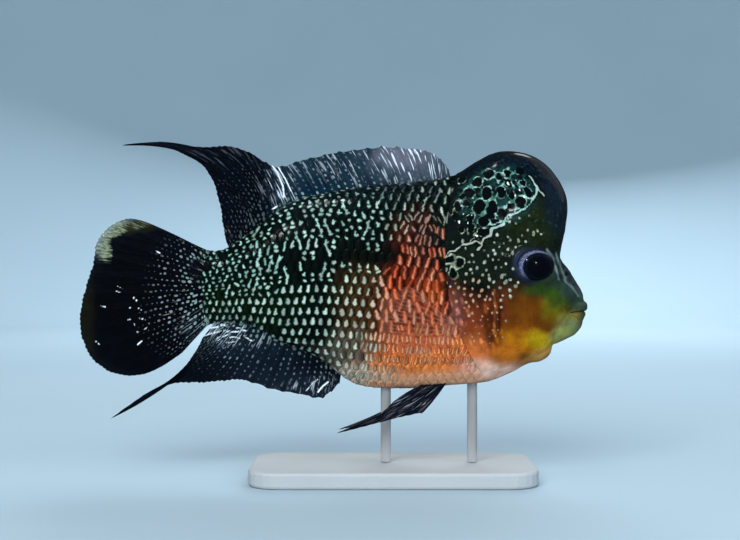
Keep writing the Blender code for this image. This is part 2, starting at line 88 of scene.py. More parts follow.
def photo_place(points):
    """Pixel = image centre + offset from the sight axis * distance / (distance - |y|) / pixel size.

    Both sides of the fish use |y|, so that they wear the same markings.
    """
    distance = -CAMERA_PLACE[1]
    nearer = distance / (distance - np.abs(points[..., 1])) / PIXEL
    x = IMAGE_SIZE[0] / 2 + (points[..., 0] - CAMERA_PLACE[0]) * nearer
    y = IMAGE_SIZE[1] / 2 - (points[..., 2] - CAMERA_PLACE[2]) * nearer
    return np.stack([x, y], -1)


print("lens", round(add_camera(), 1), "mm, and a pixel on the flank is", round(FLANK_PIXEL, 3), "mm")

# %% [markdown]
# Every form below is a sheet: a grid of points worked out as whole arrays. Small helpers do the rest. One
# makes the faces between rows and columns, one puts arrays into a mesh, one hangs a value on each point so
# that a material can read it. Blender's own primitives would be quicker to type, but a fish has no cylinders.

# %% Grids into meshes
def quads(rows, columns, start=0, around=False, flip=False):
    """Four corners a face: a point, the next in its row, and the two beneath; around joins last to first."""
    at = start + np.arange(rows * columns).reshape(rows, columns)
    if around:
        at = np.concatenate([at, at[:, :1]], 1)
    faces = np.stack([at[:-1, :-1], at[:-1, 1:], at[1:, 1:], at[1:, :-1]], -1).reshape(-1, 4)
    return faces[:, ::-1] if flip else faces


def mesh_of(name, points, *face_sets, flat=None):
    """Points in millimetres and arrays of faces; flat marks faces that keep a hard edge."""
    mesh = bpy.data.meshes.new(name)
    mesh.vertices.add(len(points))
    mesh.vertices.foreach_set("co", (points * MM).astype(np.float32).ravel())
    corners = np.concatenate([faces.ravel() for faces in face_sets])
    sizes = np.concatenate([np.full(len(faces), faces.shape[1]) for faces in face_sets])
    mesh.loops.add(len(corners))
    mesh.loops.foreach_set("vertex_index", corners.astype(np.int32))
    mesh.polygons.add(len(sizes))
    mesh.polygons.foreach_set("loop_start", (np.cumsum(sizes) - sizes).astype(np.int32))
    mesh.polygons.foreach_set("use_smooth", np.ones(len(sizes), bool) if flat is None else ~flat)
    mesh.update(calc_edges=True)
    mesh.validate()
    return mesh


def give(mesh, **fields):
    """Hangs a number or a triple on each point, under the name that a material reads."""
    for name, values in fields.items():
        triple = values.ndim > 1
        layer = mesh.attributes.new(name, "FLOAT_VECTOR" if triple else "FLOAT", "POINT")
        layer.data.foreach_set("vector" if triple else "value", values.astype(np.float32).ravel())


def lay_out(mesh, name, uv):
    """A UV map from one u, v pair a point."""
    corners = np.empty(len(mesh.loops), np.int32)
    mesh.loops.foreach_get("vertex_index", corners)
    mesh.uv_layers.new(name=name).uv.foreach_set("vector", uv[corners].astype(np.float32).ravel())


def show(mesh, finish, replaced=()):
    """The piece rides with the one body and stands for the solid nodes it covers."""
    piece = put(mesh.name, mesh)
    mesh.materials.append(finish)
    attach(piece, "root")
    if replaced:
        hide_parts(*replaced)
    print(f"{mesh.name}: {len(mesh.vertices)} points, {len(mesh.polygons)} faces")
    return piece


# %% [markdown]
# Soft shapes of paint and relief need three curves: an eased step, an ellipse's reach and a wandering ripple.
# A ripple is a sum of sine waves in seeded directions. A noise texture would do in a shader, but here the
# same numbers move points too, so they are worked out on the points.

# %% Curves for brushes and relief
def eased(value, low, high):
    """0 at low, 1 at high, with a smooth start and stop: 3t² - 2t³."""
    t = np.clip((value - low) / (high - low), 0, 1)
    return t * t * (3 - 2 * t)


def between(value, rise, fall):
    """1 between two eased edges, each given by its two limits."""
    return eased(value, *rise) * eased(value, *fall)


def bell(value, width):
    """e to the power of -(value / width)²."""
    return np.exp(-((value / width) ** 2))


def reach(place, x, y, across, tall, tilt=0.0):
    """How many radii a place lies from an ellipse's centre; the ellipse is turned anticlockwise by tilt."""
    turn = math.radians(tilt)
    dx, dy = place[..., 0] - x, y - place[..., 1]
    along = dx * math.cos(turn) + dy * math.sin(turn)
    aside = dy * math.cos(turn) - dx * math.sin(turn)
    return np.hypot(along / across, aside / tall)


def ripple(points, wavelength, seed):
    """Seven sine waves in seeded directions, with about this wavelength; roughly -1 to 1."""
    random = np.random.default_rng(seed)
    total = 0.0
    for _ in range(7):
        way = random.normal(size=points.shape[-1])
        way *= 2 * np.pi / wavelength * random.uniform(0.6, 1.5) / np.linalg.norm(way)
        total = total + np.sin(points @ way + random.uniform(0, 2 * np.pi))
    return total / 3.2


# %% [markdown]
# The body is one swept surface. Each station names three points of the side view, on the back, the flank and
# the belly, and the half width there. A ring bends through the three, so that rings fan out over the hump and
# follow the gill cover's curved edge. Boxes with rounded corners would never give the snout under the hump.

# %% The body's stations
# Top edge x, z; flank x, z; bottom edge x, z; half width; fullness above and below the flank.
STATIONS = np.array((
    (-55.5, 100.5, -57, 83.5, -55.5, 67, 3.6, 2, 2),
    (-47.5, 101, -49, 84, -49, 68.5, 6, 2, 2),
    (-33, 111, -36.5, 86, -37, 67, 9, 2, 2),
    (-18.5, 121.5, -22, 87.5, -23.5, 60, 12, 2, 2),
    (-1.5, 126, -6, 88.5, -6, 52.5, 14.6, 2, 2.1),
    (16, 128.5, 10.5, 87.5, 9.5, 41.5, 16.6, 2, 2.2),
    (33.5, 130, 28.5, 86, 29.5, 39.5, 17.8, 2.1, 2.3),
    (45.5, 131.5, 41.5, 85, 51.5, 41, 18.2, 2.2, 2.4),
    (54, 133.6, 49, 84, 67.5, 42.5, 18.6, 2.3, 2.4),
    (63, 139, 60, 85.5, 76.5, 46, 18.9, 2.5, 2.3),
    (73.5, 143.5, 69.5, 86, 85, 50.5, 18.7, 2.7, 2.2),
    (85.5, 142, 78.5, 86, 91, 51.5, 18, 2.8, 2.2),
    (95.6, 135, 85.5, 85, 94.8, 54.3, 17, 2.8, 2.1),
    (101.7, 124, 91, 83.5, 96.4, 58.2, 15.8, 2.7, 2.1),
    (101.8, 112, 95, 82.5, 99, 59.8, 14.4, 2.5, 2.1),
    (98, 100, 98, 80, 102, 61.1, 12.6, 2.2, 2.1),
    (102.8, 92.2, 100, 78, 105.9, 63.1, 11.4, 2.1, 2),
    (107.4, 85.3, 100.8, 75.6, 108.5, 66, 10.2, 2, 2),
    (109.5, 81.2, 101, 74.2, 109.5, 68.8, 9.3, 2, 2),
    (110, 78.4, 101.6, 73.7, 110.1, 70.8, 9.4, 2, 2),
    (111.4, 76.4, 102.8, 73.3, 110.6, 71.9, 8.9, 2, 2),
    (111, 73.9, 104, 73.2, 110.2, 73.2, 8.2, 2, 2),
    (107.6, 73.5, 105, 72.9, 107.6, 73.5, 6.2, 2, 2),
))
GILL = 8.0
MOUTH = len(STATIONS) - 1.0


def catmull(rows, u):
    """A smooth curve through the rows: half of 2b + (c-a)t + (2a-5b+4c-d)t² + (3b-a-3c+d)t³."""
    u = np.asarray(u, float)
    last = len(rows) - 1
    i = np.clip(np.floor(u).astype(int), 0, last - 1)
    t = (u - i)[..., None]
    a, b, c, d = (rows[np.clip(i + k, 0, last)] for k in (-1, 0, 1, 2))
    return 0.5 * (2 * b + (c - a) * t + (2 * a - 5 * b + 4 * c - d) * t**2 + (3 * b - a - 3 * c + d) * t**3)


# %% [markdown]
# A station's ring isn't drawn but worked out. Seen from the side it bends through the three points,
# seen from the front it is a superellipse, fuller than an oval where the fullness is above 2.

# %% Rings
FINE = np.linspace(0, np.pi, 193)
FLANK_INDEX = len(FINE) // 2
GILL_LIFT = 0.9


def raw_rings(u, lift):
    """Side view: middle + c(top - bottom)/2 + c²(mean of top and bottom - middle); y = -width |sin|^(2/n).

    c is the cosine's signed power 2/n, where n is the fullness. Lift widens a ring along its own curve.
    """
    row = catmull(STATIONS, u)[:, None, :]
    tx, tz, mx, mz, bx, bz, width, above, below = np.moveaxis(row, -1, 0)
    power = 2 / np.where(FINE < np.pi / 2, above, below)
    c = np.sign(np.cos(FINE)) * np.abs(np.cos(FINE)) ** power
    bend_x, bend_z = (tx + bx) / 2 - mx, (tz + bz) / 2 - mz
    out_x, out_z = (tx - bx) / 2 + 2 * c * bend_x, (tz - bz) / 2 + 2 * c * bend_z
    share = lift[:, None] * c * np.abs(c) / np.maximum(np.hypot(out_x, out_z), TINY)
    x = mx + c * (tx - bx) / 2 + c * c * bend_x + share * out_x
    z = mz + c * (tz - bz) / 2 + c * c * bend_z + share * out_z
    y = -(width + lift[:, None]) * np.abs(np.sin(FINE)) ** power
    return np.stack([x, y, z], -1)


def along_rings(rings):
    """Length from the top edge to each point, summed along every ring."""
    steps = np.linalg.norm(np.diff(rings, axis=1), axis=2)
    return np.concatenate([np.zeros((len(rings), 1)), np.cumsum(steps, 1)], 1)


def resample(values, at, wanted):
    """Reads every row of values, known at rising places, at the wanted places, all rows in one sweep."""
    shift = 1000.0 * np.arange(len(at))[:, None]
    key, ask = (at + shift).ravel(), (np.clip(wanted, at[:, :1], at[:, -1:]) + shift).ravel()
    flat = values.reshape(-1, values.shape[-1])
    read = [np.interp(ask, key, column) for column in flat.T]
    return np.stack(read, -1).reshape(*wanted.shape, values.shape[-1])


print("body length along the flank", round(float(STATIONS[-1, 2] - STATIONS[0, 2]), 1), "mm")

# %% [markdown]
# The skin is that surface on a fine grid, closed at the tail and sewn together at the bottom of the mouth.
# It lies a little inside the solid model under the scales, whose outer faces then meet the model's surface,
# and it comes up to the model's surface on the bare head. Rows are packed close over the head.

# %% The skin's grid
COAT_DEPTH = 0.42
HALF_COLUMNS = 221
GILL_SPAN = ((238, 258), (380, 350))


def skin_rows():
    """Wide steps under the scales, a tight stack at the gill cover's edge, and fine steps to the lips."""
    body = np.linspace(0.0, GILL - 0.12, 26)
    edge = GILL + np.array([-0.06, -0.03, -0.014, 0.0, 0.014, 0.03])
    head = np.linspace(GILL + 0.06, 18.0, 148)
    lips = np.linspace(18.0, MOUTH, 37)[1:]
    return np.concatenate([body, edge, head, lips])


def gill_step(u, place):
    """1 on the raised gill cover, fading forwards over three stations and upwards to the nape."""
    return (u >= GILL) * np.clip(1 - (u - GILL) / 3, 0, 1) * between(place[..., 1], *GILL_SPAN)


def unit(vectors):
    """Each vector over its own length."""
    return vectors / np.maximum(np.linalg.norm(vectors, axis=-1, keepdims=True), TINY)


def grid_normals(grid, columns_wrap=True):
    """Cross product of the steps along and across the grid, made unit length."""
    along = np.gradient(grid, axis=0)
    if columns_wrap:
        across = (np.roll(grid, -1, 1) - np.roll(grid, 1, 1)) / 2
    else:
        across = np.gradient(grid, axis=1)
    return unit(np.cross(along, across))


def skin_grid(u):
    """Rings spaced evenly along their own length, near side first, then the same points mirrored."""
    rings = raw_rings(u, np.zeros(len(u)))
    length = along_rings(rings)
    wanted = length[:, -1:] * np.linspace(0, 1, HALF_COLUMNS)
    near = resample(rings, length, wanted)
    near[:, [0, -1], 1] = 0.0
    far = near[:, -2:0:-1] * (1, -1, 1)
    return np.concatenate([near, far], 1)


rows = skin_rows()
grid = skin_grid(rows)
normals = -grid_normals(grid)
place = photo_place(grid)
print("skin grid", grid.shape[:2], "outward at the flank:", normals[90, HALF_COLUMNS // 2].round(2))

# %% [markdown]
# Relief is added along the surface's own normals, from a few named swellings and folds of a cichlid's head:
# the raised gill cover, the cheek, the rim of the eye socket, the nape's hump, the fold behind the mouth.
# Sculpting would also work, but a formula can be read, and gives the same head every time.

# %% Relief of the head
# Places are in the photograph's pixels, heights and depths in millimetres.
EYE_PLACE = (536.1, 265.0, 20.4, 17.0)
NOSTRIL_PLACE = (566.5, 274.5)
# Cheek, hump, upper lip, lower lip: centre x, y; radii; height.
SWELLINGS = (
    (527, 316, 27, 24, 0.8), (515, 200, 42, 38, 0.6), (581, 306, 9.0, 3.6, 0.18),
    (579, 315.5, 8.0, 3.0, 0.22),
)
# Mouth's corner, chin, upper lip, lower lip, two creases of the snout: the line; half width; depth.
FOLDS = (
    (((569, 311), (564, 320), (557, 331), (553, 343)), 1.8, 0.35),
    (((553, 344), (547, 351), (537, 357), (526, 360)), 2.2, 0.4),
    (((585, 300.5), (578, 302.5), (572, 306.5), (569, 311)), 1.3, 0.14),
    (((585, 321), (578, 319.5), (572, 316), (569, 311)), 1.3, 0.18),
    (((557.5, 256), (560, 268), (563, 280)), 1.2, 0.18),
    (((562, 260), (566, 271), (572, 281)), 1.2, 0.18),
)
# The groove round the cheek is an arc: centre x, y and radius; then the heights where it and its roll fade.
CHEEK_ARC = (381.1, 297.0, 120.3)
GROOVE_SPAN, ROLL_SPAN = ((248, 268), (352, 336)), ((258, 280), (350, 330))
# The dent between hump and snout.
BROW_HEIGHT, BROW_SPAN = 243, ((495, 530), (572, 550))


def to_line(place, line):
    """Shortest distance from each place to a broken line, in pixels."""
    best = np.full(place.shape[:-1], 1e9)
    for (x0, y0), (x1, y1) in zip(line, line[1:]):
        dx, dy = x1 - x0, y1 - y0
        t = np.clip(((place[..., 0] - x0) * dx + (place[..., 1] - y0) * dy) / (dx * dx + dy * dy), 0, 1)
        best = np.minimum(best, np.hypot(place[..., 0] - x0 - t * dx, place[..., 1] - y0 - t * dy))
    return best


def within(place, lines):
    """Half width minus the distance to the nearest of the lines."""
    return np.max([half - to_line(place, line) for line, half in lines], 0)


def head_relief(u, place, points):
    """Millimetres outwards: bells for swellings, minus bells round lines for folds."""
    x, y = place[..., 0], place[..., 1]
    relief = GILL_LIFT * gill_step(u, place) - 0.35 * bell(y - BROW_HEIGHT, 9) * between(x, *BROW_SPAN)
    for *ellipse, height in SWELLINGS:
        relief = relief + height * bell(reach(place, *ellipse), 1.0)
    for line, half, depth in FOLDS:
        relief = relief - depth * bell(to_line(place, line), half)
    eye, nostril = reach(place, *EYE_PLACE), reach(place, *NOSTRIL_PLACE, 1, 1)
    relief = relief + 0.5 * bell(eye - 1.13, 0.13) - 4.2 * eased(eye, 1.0, 0.78)
    relief = relief + 0.35 * bell(nostril - 3.0, 1.2) - 1.2 * eased(nostril, 2.4, 1.1)
    cheek = np.hypot(x - CHEEK_ARC[0], y - CHEEK_ARC[1]) - CHEEK_ARC[2]
    relief = relief - 0.45 * bell(cheek, 2.0) * between(y, *GROOVE_SPAN)
    relief = relief + 0.3 * bell(cheek - 6, 4.0) * between(y, *ROLL_SPAN)
    relief = relief + 0.14 * ripple(points, 16.0, 3) + 0.05 * ripple(points, 4.5, 4)
    return relief * eased(u, GILL, GILL + 0.02) * eased(u, MOUTH, MOUTH - 0.9)


under_coat = COAT_DEPTH * eased(rows, GILL + 0.02, GILL - 0.02)[:, None]
relief = head_relief(rows[:, None], place, grid) - under_coat
skin_points = grid + normals * relief[..., None]
skin_points[-1] = grid[-1]
print("relief from", relief.min().round(2), "to", relief.max().round(2), "mm")

# %% [markdown]
# Paint comes next. The fish is green-black with an orange chest, a yellow cheek and a blue-black hump. Each
# coat of paint is a soft ellipse: place, radii, tilt, softness and colour, laid on in order, with its edge
# pushed about by a ripple. Skin and scales call the same function, so their colours never part.

# %% Ground colours
# Centre x, y; radii; tilt; softness; colour. Places are in the photograph's pixels.
BODY_COLOUR = (0.001, 0.0038, 0.0032)
GROUND = (
    (300, 200, 130, 22, 3, 0.5, (0.0008, 0.005, 0.007)),
    (250, 310, 60, 30, 0, 0.6, (0.0025, 0.009, 0.004)),
    (360, 292, 28, 26, 0, 0.5, (0.03, 0.017, 0.004)),
    (382, 330, 38, 52, 0, 0.35, (0.05, 0.02, 0.006)),
    (356, 360, 32, 28, 0, 0.5, (0.085, 0.068, 0.05)),
    (364, 376, 36, 12, 0, 0.5, (0.44, 0.34, 0.25)),
    (432, 236, 38, 30, 0, 0.35, (0.045, 0.007, 0.004)),
    (430, 268, 44, 34, 0, 0.35, (0.06, 0.006, 0.002)),
    (424, 318, 48, 50, -20, 0.4, (0.075, 0.008, 0.002)),
    (434, 348, 54, 20, 0, 0.5, (0.5, 0.085, 0.015)),
    (452, 364, 72, 15, 0, 0.5, (0.78, 0.22, 0.05)),
    (430, 298, 22, 30, -25, 0.6, (0.15, 0.016, 0.002)),
    (440, 288, 14, 18, -20, 0.6, (0.3, 0.05, 0.004)),
    (475, 322, 28, 42, 0, 0.45, (0.3, 0.055, 0.014)),
    (478, 350, 34, 18, 0, 0.5, (0.62, 0.155, 0.035)),
    # A pale pink patch on the gill cover's edge, partly its own colour, partly a painted highlight.
    (455, 314, 9, 26, -8, 0.7, (0.27, 0.085, 0.065)),
    (436, 380, 76, 7, 2, 0.6, (0.66, 0.32, 0.17)),
    (504, 371, 36, 10, -8, 0.6, (0.8, 0.48, 0.37)),
    (376, 254, 26, 10, 0, 0.5, (0.0012, 0.003, 0.002)),
    (500, 205, 75, 55, 0, 0.3, (0.0008, 0.004, 0.0045)),
    (466, 245, 50, 42, 0, 0.4, (0.0015, 0.0055, 0.005)),
    (482, 270, 40, 34, 0, 0.45, (0.004, 0.009, 0.005)),
    (532, 226, 32, 26, 10, 0.6, (0.007, 0.014, 0.003)),
    (556, 192, 14, 42, 8, 0.5, (0.0035, 0.009, 0.017)),
    (505, 165, 60, 14, 0, 0.6, (0.001, 0.005, 0.01)),
    (518, 324, 32, 36, 0, 0.35, (0.075, 0.022, 0.001)),
    (498, 326, 12, 30, 0, 0.6, (0.12, 0.022, 0.003)),
    (538, 318, 24, 24, 0, 0.5, (0.12, 0.034, 0.001)),
    (518, 336, 22, 14, 0, 0.5, (0.22, 0.058, 0.001)),
    (530, 345, 28, 12, -14, 0.5, (0.4, 0.14, 0.001)),
    (543, 342, 16, 9, -25, 0.6, (0.4, 0.265, 0.001)),
    (506, 353, 14, 11, 0, 0.7, (0.46, 0.13, 0.006)),
    (555, 306, 13, 14, 0, 0.7, (0.13, 0.105, 0.002)),
    (547, 288, 24, 8, 8, 0.5, (0.018, 0.042, 0.006)),
    (558, 297, 12, 11, 0, 0.8, (0.032, 0.066, 0.006)),
    (569, 283, 13, 26, 32, 0.5, (0.022, 0.044, 0.034)),
    (580, 306, 9, 6, 0, 0.6, (0.034, 0.062, 0.036)),
    (571, 318, 13, 7, 10, 0.6, (0.17, 0.15, 0.03)),
    (572, 329, 13, 9, 25, 0.5, (0.135, 0.165, 0.075)),
    (562, 334, 12, 7, 30, 0.7, (0.26, 0.27, 0.07)),
    (541, 357, 18, 7, 25, 0.6, (0.46, 0.23, 0.05)),
    (532, 267, 19, 17, 0, 0.25, (0.006, 0.01, 0.02)),
    (532, 262, 15.5, 14, 0, 0.3, (0.03, 0.036, 0.075)),
    (550, 269, 15, 17, 0, 0.4, (0.014, 0.028, 0.02)),
)
# Narrow strokes: the line; half width; colour.
STROKES = (
    (((560, 252), (565, 264), (569, 273), (575, 283)), 3.0, (0.006, 0.013, 0.024)),
    (((557.5, 262), (560, 272), (563, 281)), 1.0, (0.006, 0.016, 0.02)),
    (((547, 249.5), (554, 259), (556, 270), (559, 279)), 0.8, (0.15, 0.19, 0.2)),
    (((556, 254), (559.5, 264), (562, 272), (566, 281), (572.5, 287.5), (579, 296)), 1.1,
     (0.1, 0.145, 0.145)),
    (((578.5, 288), (581, 294), (582, 300)), 0.9, (0.15, 0.18, 0.19)),
    (((449.5, 279), (447, 290), (446.5, 304), (448, 322)), 1.9, (0.02, 0.006, 0.012)),
    (((499.5, 282), (500.5, 300), (499, 330)), 1.1, (0.04, 0.009, 0.003)),
    (((494, 290), (495, 308), (493.5, 334)), 0.8, (0.3, 0.09, 0.025)),
    (((584, 311), (577, 311.3), (571, 312)), 0.7, (0.012, 0.02, 0.012)),
)


def painted(place, base, coats, wander):
    """The base colour, then each ellipse mixed in by an eased step over its softened edge."""
    colour = np.broadcast_to(np.array(base), place.shape[:-1] + (3,)).copy()
    for *ellipse, soft, shade in coats:
        cover = eased(reach(place, *ellipse) + wander, 1 + soft, 1 - soft)[..., None]
        colour += (np.array(shade) - colour) * cover
    return colour


def paint(place, points):
    """The ellipses, then the strokes, soft at their edges and faded out towards the middle plane."""
    wander = ripple(points, 9.0, 11) * 0.1 + ripple(points, 30.0, 12) * 0.07
    colour = painted(place, BODY_COLOUR, GROUND, wander)
    wobble = place + np.stack([ripple(points, 5.0, 13), ripple(points, 5.0, 14)], -1) * 0.6
    aside = eased(np.abs(points[..., 1]), 2.5, 6.0)
    for line, half, shade in STROKES:
        cover = (eased(to_line(wobble, line), half + 0.8, half - 0.8) * aside)[..., None]
        colour += (np.array(shade) - colour) * cover
    return colour


ground = paint(place, grid)
print("ground colours from", ground.min().round(4), "to", ground.max().round(2))

# %% [markdown]
# The mint lace on the hump is a set of dark cells with pale rims, and two long crooked lines below them.
# It is kept as fields: for each point, the millimetres by which it lies inside a line, a rim or a dot.
# A field stays smooth between points, and the shader cuts it sharply, so the marks are finer than the mesh.

# %% Lace and lines
MINT_LINE = (
    (536.9, 187.9), (535.7, 194.3), (529.7, 203.8), (525, 208.6), (517.8, 212.6), (509.8, 215),
    (505.8, 218.2), (503.4, 224.6), (497.8, 226.2), (492.3, 229.3), (489.9, 235.7), (483.5, 238.9),
    (481.9, 245.3), (477.9, 250.1),
)
MINT_BRANCH = ((529, 176), (534, 181), (536.9, 187.9), (541, 193), (543, 196))
LOWER_LINE = (
    (479.5, 243.0), (474.5, 241.5), (466.7, 244.7), (461.2, 245.5), (456, 250), (449, 252.5), (444.5, 257.5),
)
# Dark cells: centre x, y; radii; tilt.
CELLS = (
    (486.7, 193.5, 5.2, 6, 0), (479.5, 206.2, 5.6, 7.6, -20), (501, 192.7, 4.4, 6, 0),
    (491.5, 210.2, 5.2, 9.6, -15), (469.9, 219.8, 3.6, 7.2, -15), (483.5, 221.4, 4.4, 6.4, 0),
    (494.7, 221.4, 4.8, 2.4, 0), (502.6, 214.2, 4.8, 6.4, 30), (508.2, 183.1, 3.6, 3.2, 0),
    (521.8, 183.9, 3.2, 3.6, 0), (512.2, 195, 2.4, 6.4, 0), (520.2, 202.2, 5.6, 6.4, 0),
    (510.6, 207.8, 4.8, 4.8, 0), (477.9, 183.1, 5.6, 4.4, 0), (488.3, 174.3, 5.2, 4.8, 0),
    (498.6, 177.5, 3, 3, 0), (507.4, 173.5, 3.6, 4, 0), (469.1, 192.7, 5.6, 4.8, 0),
    (462, 197.4, 3.2, 3.6, 0), (458, 206.2, 3.2, 4.8, 0), (454.8, 215.8, 2.8, 4.8, 0),
    (466, 203.8, 2.8, 3.4, 0), (483.5, 232.5, 6.4, 3.2, 0), (476.3, 242.1, 4.8, 4, 0),
    (470.7, 227.7, 4, 4, 0), (461, 229.5, 3, 4.6, 0), (462, 181, 3.6, 3.2, 0), (520, 171, 4.5, 3.6, 0),
    (527.5, 193, 3.4, 5.5, 20),
)
# The lace is strongest in the middle of the hump's side and ends at an ellipse.
LACE_HEART, LACE_REACH = (503, 197, 38, 32), (492, 205, 50, 46)
GILL_CELLS = ((450.2, 259.6, 5.2, 4.2, 20), (459.6, 262.6, 4.2, 5.0, -20), (453.4, 272.6, 3.5, 5.6, 10))
# Painted white highlights, wet sparkles in the lace: centre x, y; width; height; tilt.
LACE_HIGHLIGHTS = (
    (508, 184, 2.0, 4.4, 20), (515, 196, 1.6, 4.0, -35), (519, 190, 1.5, 3.8, 30), (524, 197, 2.2, 3.0, 0),
    (459, 222, 2.2, 4.2, 10), (463, 214, 1.6, 2.4, 0), (512, 187, 1.4, 2.8, -30), (477, 236, 2.8, 2.0, 0),
    (516, 181, 1.2, 3.0, 40), (528, 186, 1.2, 3.2, -20), (505, 190, 1.0, 2.6, 10), (468, 223, 1.2, 3.0, 15),
    (472, 215, 1.0, 2.4, -20), (466, 231, 1.0, 2.6, 30), (513, 192, 1.0, 3.2, 35), (522, 187, 1.2, 2.4, 0),
    (509, 202, 1.0, 3.0, -30), (475, 235, 1.8, 1.4, 0),
)


def outside_cells(place, cells):
    """Pixels to the nearest cell's edge; negative inside it."""
    outside = np.full(place.shape[:-1], 1e9)
    for x, y, across, tall, tilt in cells:
        radius = reach(place, x, y, across, tall, tilt)
        outside = np.minimum(outside, (radius - 1) * math.sqrt(across * tall))
    return outside


def lace(place, points):
    """Rim field = the smaller of d and width - d, where d is the distance outside the nearest cell."""
    wobble = place + np.stack([ripple(points, 3.2, 21), ripple(points, 3.2, 22)], -1) * 1.1
    outside = outside_cells(wobble, CELLS)
    strong = eased(reach(place, *LACE_HEART), 1.25, 0.75)
    width = 0.75 + 0.65 * strong + 0.75 * ripple(points, 5.0, 24)
    rim = np.minimum(outside, width - outside)
    rim = rim - 3.0 * (1 - eased(reach(place, *LACE_REACH), 1.05, 0.9))
    gill = outside_cells(wobble, GILL_CELLS)
    rim = np.maximum(rim, np.minimum(gill + 0.2, 1.7 - gill))
    return rim * FLANK_PIXEL, np.minimum(outside, gill) * FLANK_PIXEL


def lines(place, points):
    """The mint lines, their half widths wandering a little."""
    wobble = place + np.stack([ripple(points, 4.0, 31), ripple(points, 4.0, 32)], -1) * 0.8
    field = within(wobble, ((MINT_LINE, 1.0), (MINT_BRANCH, 0.7), (LOWER_LINE, 0.9)))
    return (field + 0.35 * ripple(points, 3.0, 33)) * FLANK_PIXEL


# %% [markdown]
# Behind and above the eye the cheek is sprinkled with pale dots. They stand on a jittered brick grid, because
# dots thrown quite at random would clump, and skin dots keep their distance. The few white wet highlights in
# the lace are painted, placed one by one.

# %% Dots and painted highlights
DOT_PITCH = 8.2
DOT_FIRST, DOT_LAST = (446, 216), (548, 348)
# Where they grow: an ellipse behind the eye with a slanting front edge (x, y, slope), and one above it.
BEHIND_EYE, FRONT_EDGE, ABOVE_EYE = (484, 284, 42, 62), (506, 306, 0.6), (517, 231, 25, 20)
BIG_DOTS, DOTS_FADE = (512, 285), (300, 335)


def grows_dot(x, y, chance):
    """Dots cover an ellipse behind the eye, thin out above it, and keep off lines, cells and the eye."""
    here = np.array((x, y))
    front_x, front_y, slope = FRONT_EDGE
    behind = reach(here, *BEHIND_EYE) < 1 and x < front_x + max(0, front_y - y) * slope
    above = reach(here, *ABOVE_EYE) < 1 and chance < 0.75
    clear = to_line(here, MINT_LINE) > 4.0 and to_line(here, LOWER_LINE) > 3.5
    clear = clear and outside_cells(here, GILL_CELLS) > 3.0 and outside_cells(here, CELLS) > 2.0
    return (behind or above) and clear and reach(here, *EYE_PLACE) > 1.1


def dots(place, seed=5):
    """Radius minus distance, for dots on a jittered brick grid behind and above the eye."""
    random = np.random.default_rng(seed)
    field = np.full(place.shape[:-1], -2.0)
    for row, y in enumerate(np.arange(DOT_FIRST[1], DOT_LAST[1], DOT_PITCH * 0.8)):
        for x in np.arange(DOT_FIRST[0], DOT_LAST[0], DOT_PITCH) + DOT_PITCH / 2 * (row % 2):
            px, py = x + random.uniform(-2.6, 2.6), y + random.uniform(-2.4, 2.4)
            size, tall, tilt = random.uniform(0.95, 1.55), random.uniform(0.9, 1.7), random.uniform(-40, 25)
            if not grows_dot(px, py, random.uniform()):
                continue
            bigger = bell(math.hypot(px - BIG_DOTS[0], py - BIG_DOTS[1]), 16)
            size *= 1.0 + 0.3 * float(bigger) - 0.35 * float(eased(py, *DOTS_FADE))
            field = np.maximum(field, (1 - reach(place, px, py, size, size * tall, tilt)) * size)
    return field * FLANK_PIXEL


def lace_highlights(place):
    """Radius minus distance for the few painted white highlights in the lace."""
    field = np.full(place.shape[:-1], -2.0)
    for x, y, across, tall, tilt in LACE_HIGHLIGHTS:
        field = np.maximum(field, (1 - reach(place, x, y, across * 0.5, tall * 0.5, tilt)) * across)
    return field * FLANK_PIXEL


near = place[:, :HALF_COLUMNS]
near_points = grid[:, :HALF_COLUMNS]


def both_sides(values):
    """The near half's values, then the same in mirrored order for the far half."""
    return np.concatenate([values, values[:, -2:0:-1]], 1)


rim_field, cell_field = lace(near, near_points)
line_field = lines(near, near_points)
dot_field = dots(near)
# The painted white highlights in the lace.
highlight_field = lace_highlights(near)
print("points inside a mint line:", int((line_field > 0).sum()), "inside a dot:", int((dot_field > 0).sum()))

# %% [markdown]
# Finishes are networks of shader nodes. Written as plain expressions they read like the sums they are, so a
# small class wraps a socket and gives it +, -, * and /. One method adds any other node: its settings go in
# first, then the values or links of its sockets.

# %% Shader sums in Python
class Value:
    """A number that flows out of a node's socket."""

    def __init__(self, finish, socket):
        self.finish, self.socket = finish, socket

    def maths(self, operation, *values):
        return self.finish.node("ShaderNodeMath", {"operation": operation}, dict(enumerate(values)))

    def __add__(self, other):
        return self.maths("ADD", self, other)

    def __sub__(self, other):
        return self.maths("SUBTRACT", self, other)

    def __rsub__(self, other):
        return self.maths("SUBTRACT", other, self)

    def __mul__(self, other):
        return self.maths("MULTIPLY", self, other)

    def __truediv__(self, other):
        return self.maths("DIVIDE", self, other)

    def __abs__(self):
        return self.maths("ABSOLUTE", self)

    __radd__, __rmul__ = __add__, __mul__

    def clamp(self, low, high):
        return self.maths("MAXIMUM", self, low).smaller(high)

    def larger(self, other):
        return self.maths("MAXIMUM", self, other)

    def smaller(self, other):
        return self.maths("MINIMUM", self, other)

    def floor(self):
        return self.maths("FLOOR", self)

    def part(self):
        return self.maths("FRACT", self)

    def wave(self):
        return self.maths("SINE", self)


# %% [markdown]
# A finish is one wet or dry surface: a material whose Principled shader gets constants first and sums later.
# Noise and cells are asked for in millimetres, so that a mark keeps its real size on every piece.

